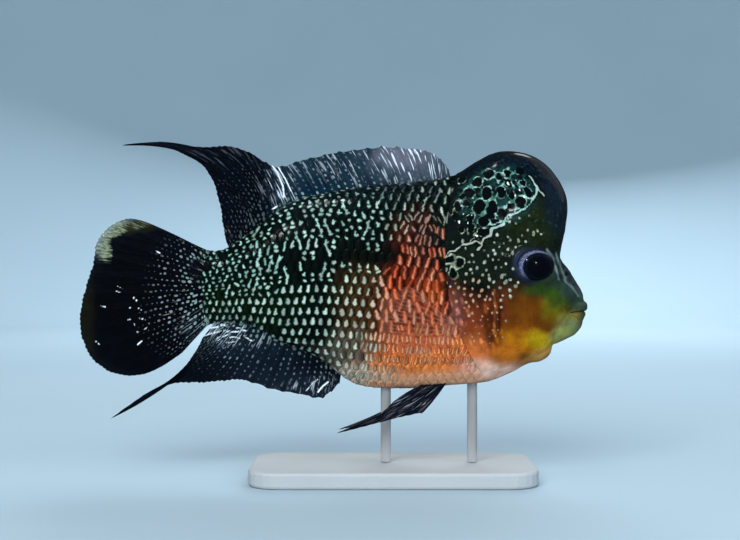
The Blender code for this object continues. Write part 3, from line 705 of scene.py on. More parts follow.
# %% A finish and its nodes
class Finish:
    """One material and its nodes."""

    def __init__(self, name, roughness=0.4, coat=0.0, coat_roughness=0.06, **constants):
        self.material = bpy.data.materials.new(name)
        self.material.use_nodes = True
        self.tree = self.material.node_tree
        self.shader = self.tree.nodes["Principled BSDF"]
        self.set("Roughness", roughness)
        self.set("Coat Weight", coat)
        self.set("Coat Roughness", coat_roughness)
        for socket, value in constants.items():
            self.set(socket.replace("_", " "), value)

    def feed(self, socket, value):
        if isinstance(value, Value):
            self.tree.links.new(value.socket, socket)
        else:
            socket.default_value = value

    def set(self, socket, value):
        self.feed(self.shader.inputs[socket], value)

    def node(self, kind, settings=None, sockets=None, output=0):
        made = self.tree.nodes.new(kind)
        for name, value in (settings or {}).items():
            setattr(made, name, value)
        for name, value in (sockets or {}).items():
            self.feed(made.inputs[name], value)
        return Value(self, made.outputs[output])

    def field(self, name, kind="Fac"):
        return self.node("ShaderNodeAttribute", {"attribute_name": name}, output=kind)

    def split(self, vector):
        node = self.node("ShaderNodeSeparateXYZ", sockets={0: vector}).socket.node
        return [Value(self, socket) for socket in node.outputs]

    def join(self, x, y, z=0.0):
        return self.node("ShaderNodeCombineXYZ", sockets={0: x, 1: y, 2: z})

    def vector(self, operation, *values, output=0):
        return self.node("ShaderNodeVectorMath", {"operation": operation}, dict(enumerate(values)), output)

    def scaled(self, vector, size):
        return self.node("ShaderNodeVectorMath", {"operation": "SCALE"}, {0: vector, "Scale": size})

    def places(self):
        """Object coordinates in millimetres."""
        return self.scaled(self.node("ShaderNodeTexCoord", output="Object"), 1 / MM)

    def noise(self, where, wavelength, detail=2.0, output="Fac"):
        sockets = {"Vector": where, "Scale": 1 / wavelength, "Detail": detail, "Roughness": 0.55}
        return self.node("ShaderNodeTexNoise", sockets=sockets, output=output)

    def cells(self, where, randomness=0.7):
        """Distance to the nearest of a field of points one unit apart."""
        sockets = {"Vector": where, "Scale": 1.0, "Randomness": randomness}
        return self.node("ShaderNodeTexVoronoi", {"feature": "F1"}, sockets, "Distance")

    def step(self, value, low, high):
        """0 at low, 1 at high, eased."""
        sockets = {"Value": value, "From Min": low, "From Max": high}
        return self.node("ShaderNodeMapRange", {"interpolation_type": "SMOOTHSTEP"}, sockets)

    def mix(self, share, first, second, blend="MIX"):
        first, second = (v if isinstance(v, Value) else (*v, 1.0) for v in (first, second))
        settings = {"data_type": "RGBA", "blend_type": blend, "clamp_factor": True}
        return self.node("ShaderNodeMix", settings, {0: share, 6: first, 7: second}, output=2)

    def shaded(self, colour, amount):
        """The colour times a number that may vary."""
        return self.mix(1.0, colour, self.join(amount, amount, amount), "MULTIPLY")

    def made(self, colour, height, depth, roughness=None):
        """The material, with its colour and a bump whose height of 0 to 1 stands for depth in millimetres."""
        self.set("Base Color", colour)
        if roughness is not None:
            self.set("Roughness", roughness)
        sockets = {"Height": height, "Strength": 1.0, "Distance": depth * MM}
        self.set("Normal", self.node("ShaderNodeBump", sockets=sockets))
        return self.material


# %% [markdown]
# Wet skin has two glosses: the soft one of the skin and the sharp one of the wet film over it. The shader's
# coat layer is the film. Ground colour comes from the paint, then dots, lace and lines are cut from their
# fields. Behind the cheek lie small flame-shaped scales, a stretched cell pattern. Pores are a bump, far too
# small to be modelled as mesh.

# %% The skin's finish
WET = {"roughness": 0.36, "coat": 0.85, "coat_roughness": 0.11, "IOR": 1.36, "Specular_IOR_Level": 0.12}
MINT, MINT_PALE, MINT_GREY = (0.06, 0.2, 0.165), (0.3, 0.5, 0.46), (0.33, 0.38, 0.33)
DOT_DULL, DOT_PALE, DOT_WARM = (0.17, 0.2, 0.15), (0.46, 0.5, 0.42), (0.46, 0.24, 0.14)
OLD_MINT, OLD_MINT_PALE = (0.15, 0.19, 0.11), (0.38, 0.44, 0.34)
# Haze, the black of cells, and the white of the painted highlights in the lace.
HAZE, CELL_BLACK, HIGHLIGHT_WHITE = (0.008, 0.045, 0.042), (0.0008, 0.0022, 0.003), (0.78, 0.88, 0.86)
HUMP_SPECKLE, CHEEK_FRECKLE = (0.03, 0.06, 0.085), (0.08, 0.04, 0.001)


def skin_finish():
    finish = Finish("wet skin", **WET)
    where = finish.places()
    x, _, z = finish.split(where)
    mottle, grain = finish.noise(where, 5.0, 4.0), finish.noise(where, 0.8, 3.0)
    flame_zone, cheek_zone, hump_zone = finish.split(finish.field("zones", "Vector"))
    lean = x + z * 0.22
    flame = finish.cells(finish.join(lean / 2.3, z / 4.2))
    flame = finish.step(flame + (grain - 0.5) * 0.3, 0.55, 0.12)
    shade = finish.step(mottle, 0.25, 0.75) * 0.5 + grain * 0.6 + 0.42
    shade = shade * (1 + flame_zone * (flame * 1.15 - 0.5))
    colour = finish.shaded(finish.field("ground", "Color"), shade)
    speckle = finish.step(finish.noise(where, 1.3, 3.0), 0.56, 0.74) * hump_zone
    colour = finish.mix(speckle * 0.5, colour, HUMP_SPECKLE)
    freckle = finish.step(finish.noise(where, 1.0, 2.0), 0.56, 0.7) * cheek_zone
    colour = finish.mix(freckle * 0.2, colour, CHEEK_FRECKLE)
    wobble = (finish.noise(where, 0.9, 3.0) - 0.5) * 0.55
    rim, line, dot = (mark + wobble for mark in finish.split(finish.field("marks", "Vector")))
    # The painted highlights in the lace, the cells, and the lace's zone.
    painted_highlight, inner, lacy = finish.split(finish.field("highlight_cell_lace", "Vector"))
    haze = finish.step(finish.noise(where, 2.2, 3.0), 0.4, 0.64) * lacy * finish.step(inner, -0.2, 0.5)
    colour = finish.mix(haze * 0.85, colour, HAZE)
    colour = finish.mix(finish.step(inner + wobble, 0.1, -0.3), colour, CELL_BLACK)
    colour = finish.mix(finish.step(line, -1.1, -0.3) * 0.7, colour, CELL_BLACK)
    pale = finish.step(finish.noise(where, 1.9, 3.0), 0.44, 0.6)
    mint = finish.mix(pale, MINT, MINT_PALE)
    old_mint = finish.mix(pale, OLD_MINT, OLD_MINT_PALE)
    rim_share = finish.step(rim, -0.12, 0.16) * (0.62 + pale * 0.38)
    colour = finish.mix(rim_share, colour, finish.mix(lacy, old_mint, mint))
    colour = finish.mix(finish.step(line, -0.14, 0.16), colour, finish.mix(lacy, MINT_GREY, MINT_PALE))
    dotted = finish.mix(flame_zone * 0.8, finish.mix(pale, DOT_DULL, DOT_PALE), DOT_WARM)
    colour = finish.mix(finish.step(dot, -0.16, 0.2) * 0.95, colour, dotted)
    # Painted white highlights in the lace.
    colour = finish.mix(finish.step(painted_highlight + wobble, -0.1, 0.15), colour, HIGHLIGHT_WHITE)
    pores = finish.noise(where, 0.5, 3.0) * 0.35 + finish.noise(where, 2.2, 2.0) * 0.65
    raised = finish.step(rim.larger(line), -0.1, 0.3) * 0.3 + finish.step(dot, -0.2, 0.3) * 0.3
    return finish.made(colour, pores + raised + flame * flame_zone * 0.9, 0.13, 0.28 + mottle * 0.2)


# %% [markdown]
# The skin's mesh joins ring to ring, with a strip of faces over the tail's end. At the mouth the last ring is
# sewn to itself, upper lip to lower, so the sheet is one closed bag. It stands for all the nodes of flesh.

# %% The skin
FLESH = ("head", "nuchal_hump", "lower_jaw", "gill_cover_left", "gill_cover_right", "torso", "tail_stem")
# Where the finish changes: the lace, the flame-shaped scales, the freckled cheek and the speckled hump.
LACE_ZONE, FLAME_ZONE, CHEEK_ZONE = (497, 197, 41, 31, 12), (474, 322, 30, 46), (528, 325, 34, 34)
FLAME_FOOT, HUMP_FOOT, HUMP_FRONT = (362, 335), (262, 235), (470, 500)


def sewn_faces(count_rows, count):
    """Rings joined row to row, the tail closed, the last ring's lower half folded on to its upper half."""
    faces = quads(count_rows, count, around=True)
    index = np.arange(1, HALF_COLUMNS - 2)
    tail = np.stack([index, index + 1, count - index - 1, count - index], -1)
    caps = np.array([(0, 1, count - 1), (HALF_COLUMNS - 2, HALF_COLUMNS - 1, HALF_COLUMNS)])
    last = (count_rows - 1) * count
    around = np.arange(count)
    from_top = np.minimum(around, count - around)
    folded = np.minimum(from_top, HALF_COLUMNS - 1 - from_top)
    folded = np.where(around > HALF_COLUMNS - 1, (count - folded) % count, folded)
    faces = np.where(faces >= last, last + folded[np.clip(faces - last, 0, count - 1)], faces)
    return faces, tail[:, ::-1], caps[:, ::-1]


def add_skin():
    count_rows, count = skin_points.shape[:2]
    mesh = mesh_of("fish_skin", skin_points.reshape(-1, 3), *sewn_faces(count_rows, count))
    x, y = near[..., 0], near[..., 1]
    lacy = eased(reach(near, *LACE_ZONE), 1.12, 0.85)
    flames = eased(reach(near, *FLAME_ZONE), 1.15, 0.75) * eased(y, *FLAME_FOOT)
    cheek = eased(reach(near, *CHEEK_ZONE), 1.1, 0.8)
    hump = eased(y, *HUMP_FOOT) * eased(x, *HUMP_FRONT) * (1 - 0.7 * lacy)
    marks = both_sides(np.stack([rim_field, line_field, dot_field], -1))
    # The painted highlights in the lace, the cells and the lace's zone go in one field.
    highlight_cell_lace = both_sides(np.stack([highlight_field, np.clip(cell_field, -2, 2), lacy], -1))
    zones = both_sides(np.stack([flames, cheek, hump], -1))
    fields = {"ground": ground, "marks": marks, "highlight_cell_lace": highlight_cell_lace, "zones": zones}
    give(mesh, **{name: values.reshape(-1, 3) for name, values in fields.items()})
    steps = np.linalg.norm(np.diff(grid[:, HALF_COLUMNS // 2], axis=0), axis=1)
    along = np.concatenate([[0], np.cumsum(steps)])
    u, v = np.meshgrid(np.linspace(0.01, 0.99, count), along / along[-1] * 0.98 + 0.01)
    lay_out(mesh, "OFBake", np.stack([u, v], -1).reshape(-1, 2))
    return show(mesh, skin_finish(), FLESH)


add_skin()

# %% [markdown]
# Scales grow in rows along the body, each row half a scale out of step with the next, roots forward, free
# edges towards the tail. To lay them, the flank needs a chart: millimetres along the body against millimetres
# up or down from the flank line. The chart is the same surface, read twice, once along rings, once along
# rows.

# %% A chart of the flank
CHART_STEP = 0.8
CHART_X = np.arange(-59.0, 70.0, CHART_STEP)
CHART_T = np.arange(-80.0, 66.0, CHART_STEP)


def make_chart():
    """Point and station for each x and each distance T from the flank line, folded over back and belly."""
    u = np.linspace(-0.3, GILL + 0.7, 250)
    rings = raw_rings(u, np.zeros(len(u)))
    length = along_rings(rings)
    middle = length[:, FLANK_INDEX:FLANK_INDEX + 1]
    top, bottom = middle, length[:, -1:] - middle
    wanted = np.broadcast_to(CHART_T, (len(u), len(CHART_T)))
    over, under = wanted > top, wanted < -bottom
    folded = np.where(over, 2 * top - wanted, np.where(under, -2 * bottom - wanted, wanted))
    table = resample(rings, length, middle - folded)
    table[..., 1] *= np.where(over | under, -1, 1)
    stations = np.broadcast_to(u[:, None, None], table.shape[:2] + (1,))
    table = np.concatenate([table, stations], -1).transpose(1, 0, 2)
    rising = np.maximum.accumulate(table[..., 0], 1) + np.arange(len(u)) * TINY
    wanted = np.broadcast_to(CHART_X, (len(CHART_T), len(CHART_X)))
    return resample(table, rising, wanted).transpose(1, 0, 2)


def read_chart(table, x, t):
    """Bilinear reading of a chart at any x and T."""
    fx, ft = (x - CHART_X[0]) / CHART_STEP, (t - CHART_T[0]) / CHART_STEP
    ix = np.clip(np.floor(fx).astype(int), 0, len(CHART_X) - 2)
    it = np.clip(np.floor(ft).astype(int), 0, len(CHART_T) - 2)
    a, b = (fx - ix)[..., None], (ft - it)[..., None]
    low = table[ix, it] * (1 - a) + table[ix + 1, it] * a
    high = table[ix, it + 1] * (1 - a) + table[ix + 1, it + 1] * a
    return low * (1 - b) + high * b


chart = make_chart()
chart_normals = grid_normals(chart[..., :3], columns_wrap=False)
mid_flank = np.array(0.0)
print("chart", chart.shape, "normal at mid flank", read_chart(chart_normals, mid_flank, mid_flank).round(2))

# %% [markdown]
# A cichlid has about thirty scales along its side and twenty rows from back to belly. What shows of each is a
# tall crescent, wider from row to row than it is long. Scales shrink towards the tail.

# %% Where the scales grow
ROWS_EACH_WAY = 13
ROW_PITCH = 4.8
TAIL_SHARE = 0.66


def pitch_at(x):
    """The part of a scale that shows: 2.9 mm on the tail stem, 3.6 on the flank, 3.9 by the gills."""
    return 2.9 + 0.7 * eased(x, -50, -12) + 0.3 * eased(x, -10, 30)


def row_share(x):
    """How close rows stand, as a share of ROW_PITCH."""
    return TAIL_SHARE + (1 - TAIL_SHARE) * eased(x, -60, -14)


def scale_centres():
    """Numbers n along the body, half a step out in odd rows, turned into x by adding up 1 / pitch."""
    fine_x = np.linspace(-62, 72, 800)
    number = np.cumsum((fine_x[1] - fine_x[0]) / pitch_at(fine_x))
    n, j = np.meshgrid(np.arange(0, int(number[-1])), np.arange(-ROWS_EACH_WAY, ROWS_EACH_WAY + 1))
    n = n + 0.5 * (np.abs(j) % 2)
    x = np.interp(n, number, fine_x)
    t = ROW_PITCH * j * row_share(x)
    here = read_chart(chart, x, t)
    station, y = here[..., 3], here[..., 1]
    return n, j, x, t, here, (station > -0.12) & (station < GILL - 0.03) & (y < 0.6)


n_of, j_of, x_of, t_of, spot_of, grows = scale_centres()
print("scales on each side:", int(grows.sum()))

# %% [markdown]
# Pearls are what a flowerhorn is bred for. Low on the flank each scale has one upright oval. Higher up a
# scale has a pair of dots, a stroke or a hook, and some run on into the next row as worms. On the chest they
# turn to flames, on the belly they fade, and the dark blotches along the middle have almost none. So each
# scale carries two rods, A and B, and two links to the rows above and below.

# %% Zones of the pearls
BLOTCHES = ((358, 254, 32, 14, 0), (392, 253, 9, 10, 0), (296, 258, 11, 11, 0), (192, 272, 9, 13, 0))
PEARL_COLOUR = (0.36, 0.46, 0.41)
PEARLS = (
    (300, 215, 150, 30, 0, 0.5, (0.33, 0.44, 0.39)),
    (235, 262, 62, 24, 0, 0.6, (0.32, 0.48, 0.44)),
    (300, 322, 90, 40, 0, 0.35, (0.48, 0.55, 0.49)),
    (240, 315, 40, 20, 0, 0.6, (0.44, 0.5, 0.43)),
    (425, 200, 46, 28, 0, 0.5, (0.27, 0.28, 0.22)),
    (345, 192, 50, 9, -4, 0.5, (0.2, 0.29, 0.28)),
    (415, 187, 42, 11, -4, 0.5, (0.07, 0.085, 0.095)),
    (398, 240, 14, 16, 0, 0.6, (0.46, 0.38, 0.22)),
    (370, 322, 34, 58, 0, 0.4, (0.56, 0.47, 0.35)),
    (360, 370, 44, 24, 0, 0.5, (0.5, 0.44, 0.36)),
    (434, 238, 40, 24, 0, 0.45, (0.34, 0.125, 0.105)),
    (428, 264, 40, 14, 0, 0.6, (0.44, 0.115, 0.065)),
    (425, 292, 46, 32, -20, 0.4, (0.56, 0.125, 0.04)),
    (422, 325, 44, 30, 0, 0.4, (0.66, 0.175, 0.045)),
    (454, 356, 80, 30, 0, 0.4, (0.8, 0.35, 0.13)),
    (440, 386, 84, 8, 0, 0.5, (0.78, 0.38, 0.18)),
)
CREAM, PEARL_WHITE = (0.62, 0.38, 0.27), (0.56, 0.6, 0.54)
# The zones' edges, in pixels. A slanting line: the x of its pivot, slope, where it starts, where it is full.
CHEST, CHEST_TOP = (430, 302, 56, 86), (222, 234)
BELLY_LINE, BELLY_REAR = (360, 0.1, 346, 364), (320, 345)
LOW_LINE = (310, 0.2, 279, 287)
FRONT_REAR, FRONT_FOOT = (372, 396), (262, 250)
WORM_SPAN, WORM_TOP = ((238, 254), (338, 322)), (232, 244)
BARS_LINE, BARS_REAR = (400, -0.1, 322, 336), (350, 366)
MAROON_REAR, MAROON_SPAN = (392, 402), ((212, 220), (262, 252))
CHEST_DEPTH = (240, 288)


def below(place, pivot, slope, start, full):
    """0 above a slanting line and 1 below it: an eased step of y + (x - pivot) * slope."""
    return eased(place[..., 1] + (place[..., 0] - pivot) * slope, start, full)


def pearl_zones(place):
    """The share of each zone at each place, 0 to 1: eased edges multiplied, less the zones that lie over it.

    Low ovals, front strokes, chest flames, belly, worms of the rear flank, twin bars, and depth on the chest.
    """
    x, y = place[..., 0], place[..., 1]
    chest = eased(reach(place, *CHEST), 1.08, 0.92) * eased(y, *CHEST_TOP)
    belly = below(place, *BELLY_LINE) * eased(x, *BELLY_REAR) * (1 - chest)
    low = below(place, *LOW_LINE) * (1 - chest) * (1 - belly)
    front = eased(x, *FRONT_REAR) * eased(y, *FRONT_FOOT) * (1 - chest)
    worms = between(x, *WORM_SPAN) * eased(y, *WORM_TOP) * (1 - low)
    bars = below(place, *BARS_LINE) * eased(x, *BARS_REAR)
    bars = np.maximum(bars, 0.65 * eased(x, *MAROON_REAR) * between(y, *MAROON_SPAN))
    return {"low": low, "front": front, "chest": chest, "belly": belly, "worms": worms, "bars": bars,
            "deep": eased(y, *CHEST_DEPTH)}


def rod(offset, axis, radius):
    """One rod for every scale: centre a, t; half axis a, t; radius."""
    return np.concatenate([offset, axis, radius[..., None]], -1)


def polar(angle, size):
    """Half axis of this size, turned from upright by the angle."""
    return np.stack([size * np.sin(angle), size * np.cos(angle)], -1)


# %% [markdown]
# No two fish wear the same pearls, so each scale draws lots from a seeded generator: one for its kind, one
# for its lean, two for where it sits. A zone then takes the scales whose lot is below its share, which gives
# a ragged border between two kinds, as on the fish.

# %% Drawing lots for the pearls
NO_ROD = -0.8
# Zone; lean; half length and how much it grows with depth; radius and how much it grows; looseness.
PULLS = (
    ("low", 0.1, 0.9, 0.0, 0.7, 0.0, 0.1), ("front", 0.16, 1.55, 0.0, 0.4, 0.0, 0.22),
    ("chest", 0.08, 0.9, 1.6, 0.44, 0.1, 0.24), ("belly", 0.1, 0.8, 0.0, 0.8, 0.0, 0.1),
)


def swap(chosen, rods, others):
    """The other rod wherever a scale is chosen."""
    return np.where(chosen[..., None], others, rods)


def drop(chosen, rods):
    """No rod wherever a scale is chosen: its radius goes below nought."""
    rods[..., 4] = np.where(chosen, NO_ROD, rods[..., 4])


def pearl_rods(random, zones):
    """Lots decide each scale's two rods: a pair of dots, a stroke or a hook; then the zones pull them."""
    size = zones["low"].shape
    lot, turn = random.uniform(size=size), random.normal(size=size)
    shift = random.normal(size=size + (2,)) * 0.22
    thick = random.uniform(0.48, 0.68, size)
    short = polar(0.7 * turn, random.uniform(0.05, 0.55, size))
    long = polar(0.42 * turn, random.uniform(0.7, 1.3, size))
    arm = polar(0.9 + 0.3 * turn, random.uniform(0.4, 0.7, size))
    pair, hook = (lot < 0.6) | (lot >= 0.9), (lot >= 0.76) & (lot < 0.9)
    up, nowhere = np.stack([0 * turn, 1.25 + 0.15 * turn], -1), np.zeros(size + (2,))
    a = swap(pair, rod(shift, long, thick * 0.85), rod(up + shift, short, thick))
    a = swap(hook, a, rod(shift + (0.0, 0.5), polar(0.2 * turn, 0.7), thick * 0.8))
    b = rod(nowhere, nowhere, np.full(size, NO_ROD))
    b = swap(pair, b, rod(-up - shift, short[..., ::-1] * (1, -1), thick * 0.95))
    b = swap(hook, b, rod(shift + arm - (0.0, 0.5), arm, thick * 0.75))
    for zone, lean, tall, taller, broad, broader, loose in PULLS:
        calm = turn * loose
        axis = polar(lean + calm, (tall + taller * zones["deep"]) * (1 + calm))
        radius = (broad + broader * zones["deep"]) * (1 - 0.9 * calm)
        a = swap(zones[zone] > lot, a, rod(shift * (0.3 + loose), axis, radius))
        drop(zones[zone] > lot, b)
    worm = (zones["worms"] > 0.5) & (lot > 0.45) & (lot < 0.75)
    a = swap(worm, a, rod(shift, polar(0.2 * turn, 1.7 + 0.2 * turn), thick * 0.82))
    drop(worm, b)
    return twin_bars(a, b, zones, lot, turn, shift, thick)


def twin_bars(a, b, zones, lot, turn, shift, thick):
    """Two slim bars side by side, 0.26 of a pitch either way; longer and looser high on the chest."""
    chosen, high = zones["bars"] > lot, 1 - zones["deep"]
    apart = np.stack([0.26 * pitch_at(x_of), 0 * turn], -1)
    bar = polar(0.06 + (0.14 + 0.16 * high) * turn, 1.45 + 0.35 * turn + 0.55 * high)
    slim = thick * (0.6 + 0.26 * eased(zones["deep"], 0.3, 0.9))
    loose = 0.7 + 2.4 * high[..., None] * (0.25, 1.0)
    a = swap(chosen, a, rod(shift * loose + apart, bar, slim))
    b = swap(chosen, b, rod(shift[..., ::-1] * loose - apart, bar * (1.2, 0.85), slim * 0.9))
    return a, b


# %% [markdown]
# Where two scales join, both carry the link, each from its own side, so that the worm runs on over the edge
# between them. Last, each pearl gets its colour from the same brushes as the skin, and some lots of its own.

# %% Links and the whole plan
def pearl_links(random, zones, radius, scale):
    """Some scales join their upper neighbour half a step back or forward; both of the two get the link."""
    size = radius.shape
    chance = 0.09 + 0.24 * zones["worms"] + 0.02 * zones["front"]
    chance = chance * (1 - zones["low"]) * (1 - zones["chest"]) * (1 - zones["belly"])
    joins = (random.uniform(size=size) < chance) & (radius > 0)
    lean = np.where(random.uniform(size=size) < 0.5, 1, -1)
    row, column = np.indices(size)
    odd = np.abs(j_of) % 2
    target = np.clip(column + np.where(odd == 1, (lean + 1) // 2, (lean - 1) // 2), 0, size[1] - 1)
    upper = np.minimum(row + 1, size[0] - 1)
    joins &= (row < size[0] - 1) & grows & grows[upper, target] & (radius[upper, target] > 0)
    way = np.stack([x_of[upper, target] - x_of, t_of[upper, target] - t_of], -1)
    up = np.where(joins[..., None], way, 0.0)
    down = np.zeros_like(up)
    down[upper[joins], target[joins]] = -way[joins]
    thick = np.where(zones["front"] > 0.5, 0.34, 0.44) * scale * random.uniform(0.85, 1.15, size)
    return [np.concatenate([link, thick[..., None]], -1) for link in (up, down)]


def pearl_plan(seed):
    """Rods A and B, links up and down, and the pearls' colour, for every place of the lattice."""
    random = np.random.default_rng(seed)
    place = photo_place(spot_of[..., :3])
    size, scale = x_of.shape, row_share(x_of)
    zones = pearl_zones(place)
    a, b = pearl_rods(random, zones)
    lot = random.uniform(size=size)
    bare = np.zeros(size, bool)
    for blotch in BLOTCHES:
        bare |= reach(place, *blotch) + 0.1 * random.normal(size=size) < 1
    lost = (bare & (lot < 0.8)) | ((lot > 0.97) & (zones["chest"] < 0.5))
    for rods in (a, b):
        drop(lost, rods)
    a, b = a * scale[..., None], b * scale[..., None]
    up, down = pearl_links(random, zones, a[..., 4], scale)
    colour = painted(place, PEARL_COLOUR, PEARLS, ripple(spot_of[..., :3], 9.0, 11) * 0.1)
    whiter = 0.5 * (1 - zones["chest"]) * random.uniform(size=size) ** 2
    colour = colour + (np.array(PEARL_WHITE) - colour) * whiter[..., None]
    colour = colour * random.uniform(0.52, 1.15, size)[..., None]
    pale = 0.75 * zones["chest"] * random.uniform(size=size) ** 2
    colour = colour + (np.array(CREAM) - colour) * pale[..., None]
    return a, b, up, down, colour


joined = np.abs(pearl_plan(1)[2][..., :2]).sum(-1) > 0
print("share of scales joined upwards:", joined[grows].mean().round(2))

# %% [markdown]
# A scale's free edge is a parabola, its face is slightly domed, and it leans out towards the tail, so each
# one lies on the next like a roof tile. Each is a thin closed plate of 124 faces. Hundreds of
# instances would be lighter, but a joined mesh is what other programs can read.

# %% The coat's mesh
SCALE_S = np.linspace(0, 1, 7)
SCALE_Q = np.linspace(-1, 1, 9)
HALF_WIDTH, FREE_EDGE, EDGE_SWEEP = 5.0, 0.62, 1.07
ROOT_BACK, ROOT_SWEEP, PEARL_BACK = 1.5, 0.45, 0.1
TILT, EDGE_HEIGHT, DOME, THICKNESS = 0.32, 0.02, 0.12, 0.11
CELL = len(SCALE_S) * len(SCALE_Q)
CALM = (474, 381, 84, 15)
RIM_GREEN, RIM_RED = (0.16, 0.4, 0.34), (0.56, 0.19, 0.07)


def rim_path(rows, columns):
    """Indices round a grid's border, once."""
    at = np.arange(rows * columns).reshape(rows, columns)
    return np.concatenate([at[0], at[1:, -1], at[-1, -2::-1], at[-2:0:-1, 0]])


def plate_faces(count):
    """Top, underside and rim of one scale, repeated for all; the rim keeps a hard edge."""
    ring = rim_path(len(SCALE_S), len(SCALE_Q))
    after = np.roll(ring, -1)
    plate = quads(len(SCALE_S), len(SCALE_Q), flip=True)
    wall = np.stack([ring, after, after + CELL, ring + CELL], -1)
    one = np.concatenate([plate, plate[:, ::-1] + CELL, wall])
    faces = (one[None] + (np.arange(count) * 2 * CELL)[:, None, None]).reshape(-1, 4)
    return faces, np.tile(np.repeat([False, False, True], [len(plate), len(plate), len(wall)]), count)


def scale_points(random, x, t, calm):
    """Back = root + s (edge - root), in pitches; height = edge height - tilt * the way to the edge + dome.

    The edge is FREE_EDGE - EDGE_SWEEP q² and the root -ROOT_BACK + ROOT_SWEEP q², where q runs from side
    to side. Calm scales, over the place where belly and pelvic fins meet, lie flatter.
    """
    count = len(x)
    pitch, share = pitch_at(x)[:, None, None], row_share(x)[:, None, None]
    s, q = (values[None] for values in np.meshgrid(SCALE_S, SCALE_Q, indexing="ij"))
    edge, root = FREE_EDGE - EDGE_SWEEP * q * q, -ROOT_BACK + ROOT_SWEEP * q * q
    edge = edge + 0.03 * random.normal(size=(count, 1, 1))
    back = root + s * (edge - root)
    rise = q * HALF_WIDTH * (0.9 + 0.1 * s) * share
    lift = DOME * (1 - q * q) * (0.35 + 0.65 * s) - TILT * (FREE_EDGE - back)
    lean = 0.045 * q * random.normal(size=(count, 1, 1)) + 0.03 * random.normal(size=(count, 1, 1)) * s
    height = EDGE_HEIGHT + (lift + lean) * (1 - 0.78 * calm[:, None, None])
    px, pt = x[:, None, None] - back * pitch, t[:, None, None] + rise
    centre = read_chart(chart, px, pt)[..., :3]
    outward = unit(read_chart(chart_normals, px, pt))
    top = centre + outward * height[..., None]
    under = centre + outward * (height - THICKNESS)[..., None]
    points = np.stack([top.reshape(count, CELL, 3), under.reshape(count, CELL, 3)], 1)
    spot = np.stack([(PEARL_BACK - back) * pitch, rise + 0 * back, 0 * back], -1)
    return points.reshape(-1, 3), np.repeat(spot.reshape(count, 1, CELL, 3), 2, 1).reshape(-1, 3)


def scale_uv():
    """Each scale gets its own brick of the lattice; its underside is a thin strip along the brick's foot."""
    s, q = (values.reshape(1, CELL) for values in np.meshgrid(SCALE_S, SCALE_Q, indexing="ij"))
    n, j = n_of[grows][:, None] - n_of.min(), j_of[grows][:, None] - j_of.min()
    columns, levels = np.ptp(n_of) + 1.0, np.ptp(j_of) + 1.0
    u = (n + 0.05 + 0.9 * (1 - s)) / columns
    face = (j + 0.12 + 0.83 * (q / 2 + 0.5)) / levels
    strip = (j + 0.02 + 0.06 * (q / 2 + 0.5)) / levels
    return np.stack([np.stack([u, u], 1), np.stack([face, strip], 1)], -1).reshape(-1, 2)


def coat_arrays(side, seed):
    """Points, faces, hard faces and fields of one side's coat; side is -1 for the right, 1 for the left."""
    random = np.random.default_rng(seed)
    a, b, up, down, pearl = (values[grows] for values in pearl_plan(seed))
    count = len(a)
    x = x_of[grows] + random.normal(size=count) * 0.07
    t = t_of[grows] + random.normal(size=count) * 0.07
    calm = eased(reach(photo_place(spot_of[grows][:, :3]), *CALM), 1.4, 0.8)
    points, spot = scale_points(random, x, t, calm)
    faces, flat = plate_faces(count)
    if side > 0:
        points, faces = points * (1, -1, 1), faces[:, ::-1]
    per_scale = {"rod_a": a[:, (0, 1, 4)], "axis_a": a[:, 2:4], "rod_b": b[:, (0, 1, 4)], "axis_b": b[:, 2:4],
                 "link_up": up, "link_down": down, "pearl": pearl}
    fields = {}
    for name, values in per_scale.items():
        padded = np.concatenate([values, np.zeros((count, 3 - values.shape[1]))], 1)
        fields[name] = np.repeat(padded, 2 * CELL, axis=0)
    fields["spot"] = spot
    fields["ground"] = paint(photo_place(points), points * (1, -side, 1))
    fields["calm"] = eased(reach(photo_place(points), *CALM), 1.4, 0.8)
    return points, faces, flat, fields, scale_uv()


# %% [markdown]
# The scale's finish measures the distance to its rods and links, all in the scale's own millimetres, and
# paints pearl where that is less than the radius. A pearl has a dark green rim and a pale middle. Growth
# lines go in as bump, and the front of each scale is painted darker, a painted shade where its neighbours
# overlap it.

# %% The scales' finish
def rod_inside(finish, at, centre_and_radius, axis, low=-1.0, taper=0.0):
    """Radius - the length of at - t axis, where t = at . axis / axis . axis, clamped between low and 1."""
    centre = finish.vector("MULTIPLY", centre_and_radius, (1.0, 1.0, 0.0))
    radius = finish.split(centre_and_radius)[2]
    away = finish.vector("SUBTRACT", at, centre)
    top = finish.vector("DOT_PRODUCT", away, axis, output="Value")
    bottom = finish.vector("DOT_PRODUCT", axis, axis, output="Value") + 1e-4
    t = (top / bottom).clamp(low, 1.0)
    rest = finish.vector("SUBTRACT", away, finish.scaled(axis, t))
    return radius * (1 + t * taper) - finish.vector("LENGTH", rest, output="Value")


def link_inside(finish, at, link):
    """As a rod from 0 to 1 along the link, and nothing where the link has no length."""
    axis = finish.vector("MULTIPLY", link, (1.0, 1.0, 0.0))
    centre_and_radius = finish.vector("MULTIPLY", link, (0.0, 0.0, 1.0))
    length = finish.vector("LENGTH", axis, output="Value")
    return rod_inside(finish, at, centre_and_radius, axis, low=0.0) - 3.0 * finish.step(length, 0.5, 0.1)


